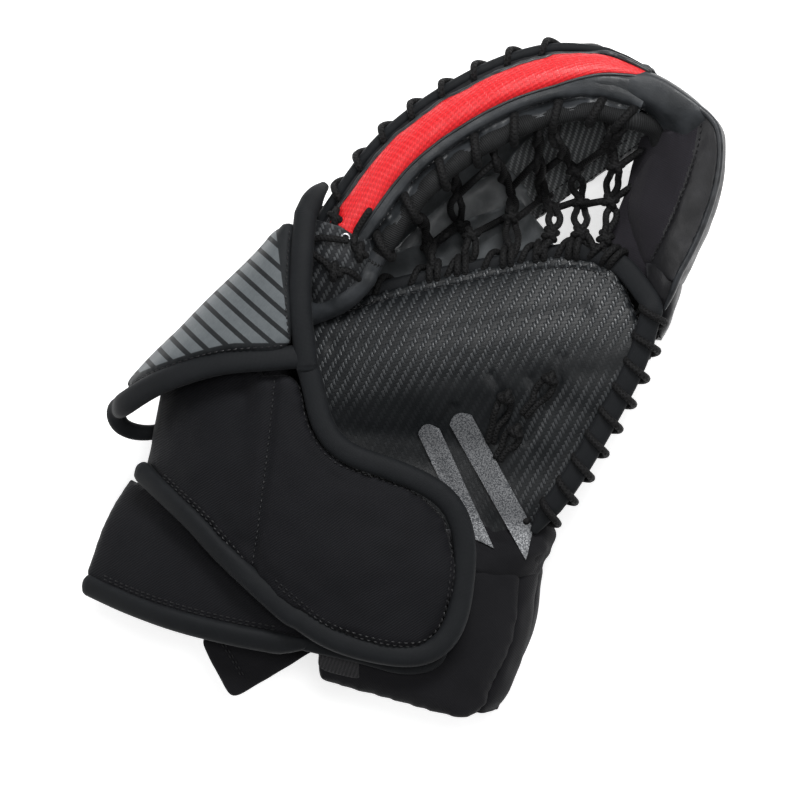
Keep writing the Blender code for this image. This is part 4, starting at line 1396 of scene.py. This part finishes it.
for cord in CORDS:
    plan = curve([(*spot, 0)[:3] for spot in cord])
    middle = np.array([(x, y, net_height(x, y)) for x, y, _ in plan])
    middle[:, 2] = softened(middle[:, 2], 14)
    side, up = upright_frames(middle, UP)
    turn = lengths_along(middle)[:, None] / TWIST
    spread = np.maximum(plan[:, 2:3], 0)
    close = (side * np.cos(turn) + up * np.sin(turn)) * 1.9 * np.clip(1 - spread / 2.4, 0, 1)
    for sign in (-1, 1):
        net.tube(middle + sign * (side * (spread + 0.2) + close), STRAND, 1.1, 9)
for start, end in CROSSES:
    line = np.array([(x, y, net_height(x, y)) for x, y in np.linspace(start, end, 9)])
    line[:, 2] = softened(line[:, 2], 6) - 1.2 * np.sin(np.linspace(0, math.pi, 9))
    net.tube(line, STRAND + 0.05, 1.1, 9)
for x, y in KNOTS:
    centre = np.array((x, y, net_height(x, y)))
    for tilt in (-0.7, 0.7):
        ahead = unit(np.array((tilt, -1.0, 0.1)))
        net.tube(loop_round(centre, ahead, 3.6, squeeze=0.9, twist=1.5), 1.9, 1.0, 9)
net_piece = net.piece("net_laces", "lace", None, ("pocket_net",))
edge_tree = tree_of(palm_edge)


def net_share(p):
    """How near a point of the net is to the thumb's roll, as a share, by its distances to the roll and to the
    palm and rim.
    """
    to_roll = max(0.0, roll_tree.find(p)[2] - 6)
    to_hand = max(0.0, edge_tree.find(p)[2] - 6)
    right = max(0.0, 150 - p[0]) if p[1] > 100 else 200
    to_hand = min(to_hand, right)
    return eased(to_hand / (to_hand + to_roll + 0.01), 0, 1)


custom_blend(net_piece, net_share)
ties = Shape()
for x, y in ((20, 73.5), (37, 73), (63, 78), (81, 82), (101, 84), (121, 80)):
    k = int(np.argmin(((palm_edge[:, :2] - (x, y)) ** 2).sum(axis=1)))
    ahead = unit(palm_edge[min(k + 1, len(palm_edge) - 1)] - palm_edge[k - 1])
    for shift in (-2.3, 2.3):
        ties.tube(loop_round(palm_edge[k] + ahead * shift, ahead, 6.4, twist=1.5), 2.0, 1.0)
ties.piece("palm_net_ties", "lace", "hand")


# ---- spine ----

strap = pads["spine_strap"]
ripple(strap, 0.5, 20)
# The strap wears the lighter copy of the carbon leather: painted light.
finish_pad("spine_strap", "carbon_painted_light", "spine")
# The pad wears the light grey copy of the black leather: painted light.
ripple(pads["spine_pad"], 0.6, 14)
finish_pad("spine_pad", "pad", "spine")
spine_surface = Skin(strap)
sewn("spine_stitches", "spine", spine_surface.trace([(131, 150), (112, 138), (90, 122), (70, 108)]),
     spine_surface.trace([(138, 148), (118, 134), (96, 118), (76, 104)]))


# ---- foot of the thumb band ----

web = cloth_sheet("thumb_web_cloth", ("thumb_web",), "carbon", None, 0.4, 12)
custom_blend(web, lambda p: eased(p[1], 50, 68))
tie = Shape()
base_surface = Skin(band, web, base_patch)
for line in ([(-53.9, 89), (-46, 92), (-38, 91.5), (-30.6, 90.5)],
             [(-26.2, 87.6), (-25, 95), (-21, 102), (-17.5, 107.2)],
             [(-35.7, 73.8), (-29, 73), (-22, 68), (-16.1, 63.6)],
             [(-51, 84), (-45, 80), (-38, 74), (-37, 71)]):
    points = [base_surface.down(x, y)[0] + UP * 2.0 for x, y in curve(line, 3.0)]
    tie.tube(points, 2.0, 1.1)
for x, y in ((-38.6, 105), (-22.5, 84), (-37.2, 73)):
    centre = base_surface.down(x, y)[0] + UP * 2.5
    tie.tube(loop_round(centre, unit(np.array((1, 0.4, 0.2))), 4.0, squeeze=0.8, twist=2), 2.1, 1.0)
    tie.tube(loop_round(centre, unit(np.array((0.3, 1, -0.1))), 3.6, squeeze=0.8, twist=1), 2.0, 1.0)
tie.piece("thumb_tie_laces", "lace", "thumb", ("thumb_tie_lace",))
centre, facing = base_surface.down(-31, 92)
eyelet = loop_round(centre + facing * 0.9, facing, 2.3, up=np.array((1.0, 0, 0)))
Shape().tube(eyelet, 0.8, 0.6).piece("thumb_eyelet", "metal", "thumb")


# ---- wrist wraps ----

wrap = pads["wrist_wrap"]
wrap_surface = Skin(wrap)
# How far the wraps' hinge lines lean to the left for each millimetre along +Y.
LEAN = 0.1005
SEWN_SEAM = [(-71, 12), (-73, -10), (-76.6, -41.6), (-80, -68), (-83.2, -90), (-86, -106)]
groove(wrap, [wrap_surface.trace(SEWN_SEAM)[0]], 3.0, 1.7)
ripple(wrap, 1.0, 34)
ripple(wrap, 0.5, 12)
wrap_surface = Skin(wrap)
wrap_piece = finish_pad("wrist_wrap", "nylon", None)
custom_blend(wrap_piece, lambda p: eased(p[0] + LEAN * (p[1] + 50), -83.5, -76.5))
sewn("wrap_seam_stitches", "wrist", wrap_surface.trace(SEWN_SEAM), length=2.0, gap=1.6)

upper_edge = curve(centre_line("upper_wrap_binding", 5.0, (-47, 14, 101)), 1.5)
upper_edge = curve(np.vstack([[(-50.5, 20, 101.5)], upper_edge[4:-4:6], upper_edge[-1:]]), 1.5)
base_edge = curve(centre_line("wrap_base_binding", 4.0, (-92, -101, 91)), 1.5)
joined = np.vstack([upper_edge[:-14:6], [(-60.5, -126.5, 95), (-86.5, -103, 94.6)], base_edge[12::6],
                    base_edge[-1:]])
joined = softened(curve(joined, 1.5), 36)
tilt = np.clip((-86 - joined[:, :1]) / 16, 0, 1)
ups = unit(UP * (1 - tilt) + unit(np.array((-0.45, -0.3, 0.8))) * tilt)
wrap_edge = edge_band("wrap_edge", joined, 13.0, 9.4, None, ("upper_wrap_binding", "wrap_base_binding"), 2.2,
                      ups)
custom_blend(wrap_edge, lambda p: eased(p[0] + LEAN * (p[1] + 50), -89.0, -82.0))
sewn("upper_wrap_stitches", "upper_wrap", *beside(wrap_surface, upper_edge[6:-2], (8.3, 10.2)))
sewn("wrap_base_stitches", "wrist", *beside(wrap_surface, base_edge[2:-4], (8.0, 9.8)))

side_edge = curve(centre_line("cuff_side_binding", 5.0, (-53, 108, 92)), 1.5)
side_edge = np.vstack([curve([(-43, 122, 74), (-48, 116, 85), side_edge[0]], 1.5)[:-1], side_edge,
                       curve([side_edge[-1], (-52.5, 20, 103.5)], 1.5)[1:]])
thin = np.interp(np.linspace(0, 1, len(side_edge)), (0, 0.16, 1), (0.45, 1, 1))[:, None]
edge_band("cuff_side_edge", side_edge, 13.0, 9.6, "wrist", ("cuff_side_binding",), 0.5, scale=thin)
lower_edge = centre_line("cuff_lower_binding", 5.0, (-66, 21, 104))
TURN_UNDER = [(-162, -7, 50), (-160, -13, 43), (-153, -16.5, 39), (-143, -17, 37), (-135, -14, 36)]
lower_edge = curve(np.vstack([[(-57, 22, 103)], lower_edge[1:-1:3], TURN_UNDER]), 1.5)
thin = np.interp(np.linspace(0, 1, len(lower_edge)), (0, 0.72, 0.86, 1), (1, 1, 0.75, 0.6))[:, None]
edge_band("cuff_lower_edge", lower_edge, 13.5, 9.6, "wrist", ("cuff_lower_binding",), 2.6 * thin,
          (-0.3, 0.1, 0.9), thin)
cuff = pads["cuff"]
ripple(cuff, 0.6, 30)
cuff_surface = Skin(cuff)
finish_pad("cuff", "print", "wrist")
sewn("cuff_stitches", "wrist", *beside(cuff_surface, lower_edge[4:-44], (9.6,)),
     *beside(cuff_surface, side_edge[4:-4], (8.6,)))

lower = pads["lower_wrap"]
ripple(lower, 0.7, 22)
lower_surface = Skin(lower)
lower_piece = finish_pad("lower_wrap", "nylon", None)
custom_blend(lower_piece, lambda p: eased(p[0] + LEAN * (p[1] + 120), -66.5, -61.5))
base_low = centre_line("lower_base_binding", 4.0, (-182, -108, 44))
base_low = curve(np.vstack([base_low, [(-57, -141.5, 82.5), (-49, -139.5, 82)]]), 1.5)
thin = np.interp(np.linspace(0, 1, len(base_low)), (0, 0.86, 1), (1.0, 1.0, 0.35))[:, None]
BASE_UP = (-0.3, -0.3, 0.9)
edge_band("lower_base_edge", base_low, 13.0, 8.0, "wrist", ("lower_base_binding",), -2.6, BASE_UP, thin)
sewn("lower_wrap_stitches", "wrist", *beside(lower_surface, base_low[6:-12], (-10.6, -12.6), BASE_UP))
flap_low = curve(centre_line("lower_flap_binding", 2.6, (-61, -138, 81)), 1.5)
edge_band("lower_flap_edge", flap_low, 9.0, 5.2, "lower_wrap", ("lower_flap_binding",), -1.4)


# ---- wrist box ----

box = pads["wrist_pad"]
ripple(box, 1.6, 36)
ripple(box, 0.4, 14)
groove(box, [Skin(box).trace([(71, -98), (67, -131), (60, -162), (46, -178)])[0]], 2.0, 1.6)
finish_pad("wrist_pad", "canvas", "wrist")
GUSSET = [
    [(66, -96, 67.5), (62, -137, 67.5), (50, -165, 66.5), (41, -178.5, 64)],
    [(73, -95, 67), (67, -137, 66.5), (56.5, -166, 65), (47, -180.5, 62)],
    [(80, -94, 59), (73, -136, 58), (62.5, -166, 57), (53, -179.5, 55)],
    [(81, -93, 50), (74, -135, 48), (64, -165, 47), (56, -178, 47)],
    [(77, -92, 44), (70, -134, 42), (59, -163, 42), (53, -176, 42)],
]
patch("wrist_gusset", "canvas", "wrist", GUSSET, (60, 26), 2.0, (1.2, 14))
LINING = [
    [(-86, 76, 62), (-68, 80, 52), (-46, 72, 52)],
    [(-122, 38, 56), (-86, 34, 40), (-46, 38, 50)],
    [(-130, -14, 50), (-92, -20, 34), (-42, -14, 50)],
    [(-108, -78, 58), (-66, -80, 48), (-24, -62, 50)],
]
lining = patch("wrist_lining", "lining", None, LINING, (50, 60), 2.0, (1.4, 16))
custom_blend(lining, lambda p: eased(-p[0], 46, 76))
TONGUE = [
    [(-98, -58, 62), (-72, -64, 70), (-46, -70, 72), (-18, -70, 71), (10, -72, 71), (32, -74, 70)],
    [(-98, -66, 76), (-74, -74, 81), (-48, -80, 82), (-18, -80, 83), (10, -82, 83), (34, -83, 79)],
    [(-97, -75, 82), (-76, -85, 85.5), (-50, -91, 87), (-18, -92, 87), (10, -93, 87), (35, -93, 82)],
    [(-95, -83, 78), (-76, -94, 81), (-50, -101, 81), (-18, -103, 81), (10, -104, 81), (34, -104, 77)],
    [(-94, -90, 70), (-74, -101, 72), (-48, -108, 72), (-18, -110, 72), (10, -111, 72), (32, -111, 71)],
]
patch("wrist_tongue", "lining", "wrist", TONGUE, (90, 36), 3.0, (1.2, 16))

# ---- straps ----

cloth_sheet("webbing_strap_cloth", ("webbing_strap",), "webbing", "wrist", 0.4, 12)
tail_surface = Skin(cloth_sheet("strap_tail_cloth", ("strap_tail",), "canvas", "wrist", 0.4, 12))
sewn("strap_tail_stitches", "wrist", *[tail_surface.trace([(x - 107, -133), (x - 98, -147), (x - 90, -161)])
                                       for x in (0.0, 1.7)])
cloth_sheet("upper_hook_cloth", ("upper_hook_patch",), "hook", "upper_wrap", 0.15, 12)
cloth_sheet("backhand_strap_cloth", ("backhand_strap",), "canvas", "backhand_strap_body", 0.4, 12)
cloth_sheet("backhand_hook_cloth", ("backhand_hook_patch",), "hook", "backhand_strap_body", 0.15, 12)


# ---- back of the fingers ----

board = pads["finger_board"]
CHANNELS = [[(-4, -10), (28, 20), (57, 47)], [(12, -27), (45, 4), (76, 34)], [(32, -40), (64, -9), (95, 21)]]


def under(obj, lines):
    """Paths along the underside of an object below the given (x, y) lines."""
    tree = Skin(obj).tree
    return [np.array([tree.ray_cast(Vector((x, y, -20)), Vector((0, 0, 1)))[0] for x, y in curve(line)])
            for line in lines]


groove(board, under(board, CHANNELS), 2.4, 2.2)
ripple(board, 0.8, 26)
finish_pad("finger_board", "leather", "hand")
sewn("finger_board_stitches", "hand",
     *[(path, np.broadcast_to(-UP, path.shape)) for path in under(board, CHANNELS)])

# The binding follows the board's outline: the furthest point of the board at each bearing from its middle.
points = coords(board)
middle = points.mean(axis=0)
bearing = np.arctan2(points[:, 1] - middle[1], points[:, 0] - middle[0])
reach = np.hypot(points[:, 1] - middle[1], points[:, 0] - middle[0])
RAYS = 150
rays = np.linspace(-math.pi, math.pi, RAYS, endpoint=False)
off_ray = lambda ray: np.abs((bearing - ray + math.pi) % (2 * math.pi) - math.pi)
far = np.array([reach[off_ray(ray) < 0.04].max() for ray in rays])
far = softened(np.tile(far, 3), 4)[RAYS:2 * RAYS + 2]
rays = np.append(rays, rays[:2])
around = np.column_stack([np.cos(rays), np.sin(rays)])
ring = np.column_stack([middle[:2] + around * far[:, None], np.full_like(far, 7.4)])
Shape().sweep(curve(ring, 1.5), pillow(4.4, 12.4, 20, 2.6), up=UP, domed=False).piece(
    "finger_board_binding", "binding", "hand")


# ---- floor, light and camera ----

def lamp(name, place, aim, size, power):
    light = bpy.data.lights.new(name, "AREA")
    light.shape, light.size, light.size_y = "RECTANGLE", *size
    light.energy = power
    obj = bpy.data.objects.new(name, light)
    obj.location = place
    obj.rotation_euler = (Vector(aim) - Vector(place)).to_track_quat("-Z", "Y").to_euler()
    scene.collection.objects.link(obj)


floor_mesh = bpy.data.meshes.new("floor")
floor_mesh.from_pydata([(-3, -3, 0), (3, -3, 0), (3, 3, 0), (-3, 3, 0)], [], [(0, 1, 2, 3)])
floor = bpy.data.objects.new("floor", floor_mesh)
scene.collection.objects.link(floor)
pale = Shader("pale_floor", 0.9)
pale.colour((0.9, 0.9, 0.9))
connect(pale.surface["Emission Color"], (1, 1, 1))
connect(pale.surface["Emission Strength"], 0.62)
floor_mesh.materials.append(pale.material)

world = bpy.data.worlds.new("studio")
scene.world = world
world.use_nodes = True
world.node_tree.nodes["Background"].inputs["Color"].default_value = (1, 1, 1, 1)
world.node_tree.nodes["Background"].inputs["Strength"].default_value = 0.22
lamp("key", (0.25, 1.1, 1.3), (0.0, 0.02, 0.05), (0.7, 0.5), 24)
lamp("top", (0.12, 0.16, 1.5), (0.06, 0.10, 0.04), (0.35, 0.35), 5)
lamp("fill_left", (-1.3, 0.1, 1.1), (-0.02, 0, 0.05), (0.8, 1.2), 7)
lamp("fill_right", (1.2, -0.5, 1.0), (0.02, 0, 0.05), (0.6, 0.9), 5)
scene.view_settings.view_transform = "Standard"

camera_data = bpy.data.cameras.new("camera")
camera_data.sensor_width = 36.0
camera = bpy.data.objects.new("camera", camera_data)
CAMERA_HEIGHT, SHARP_PLANE, VIEW_WIDTH = 3.0, 0.085, 0.456
camera.location = (0.0, 0.0, CAMERA_HEIGHT)
camera_data.lens = camera_data.sensor_width * (CAMERA_HEIGHT - SHARP_PLANE) / VIEW_WIDTH
scene.collection.objects.link(camera)
scene.camera = camera
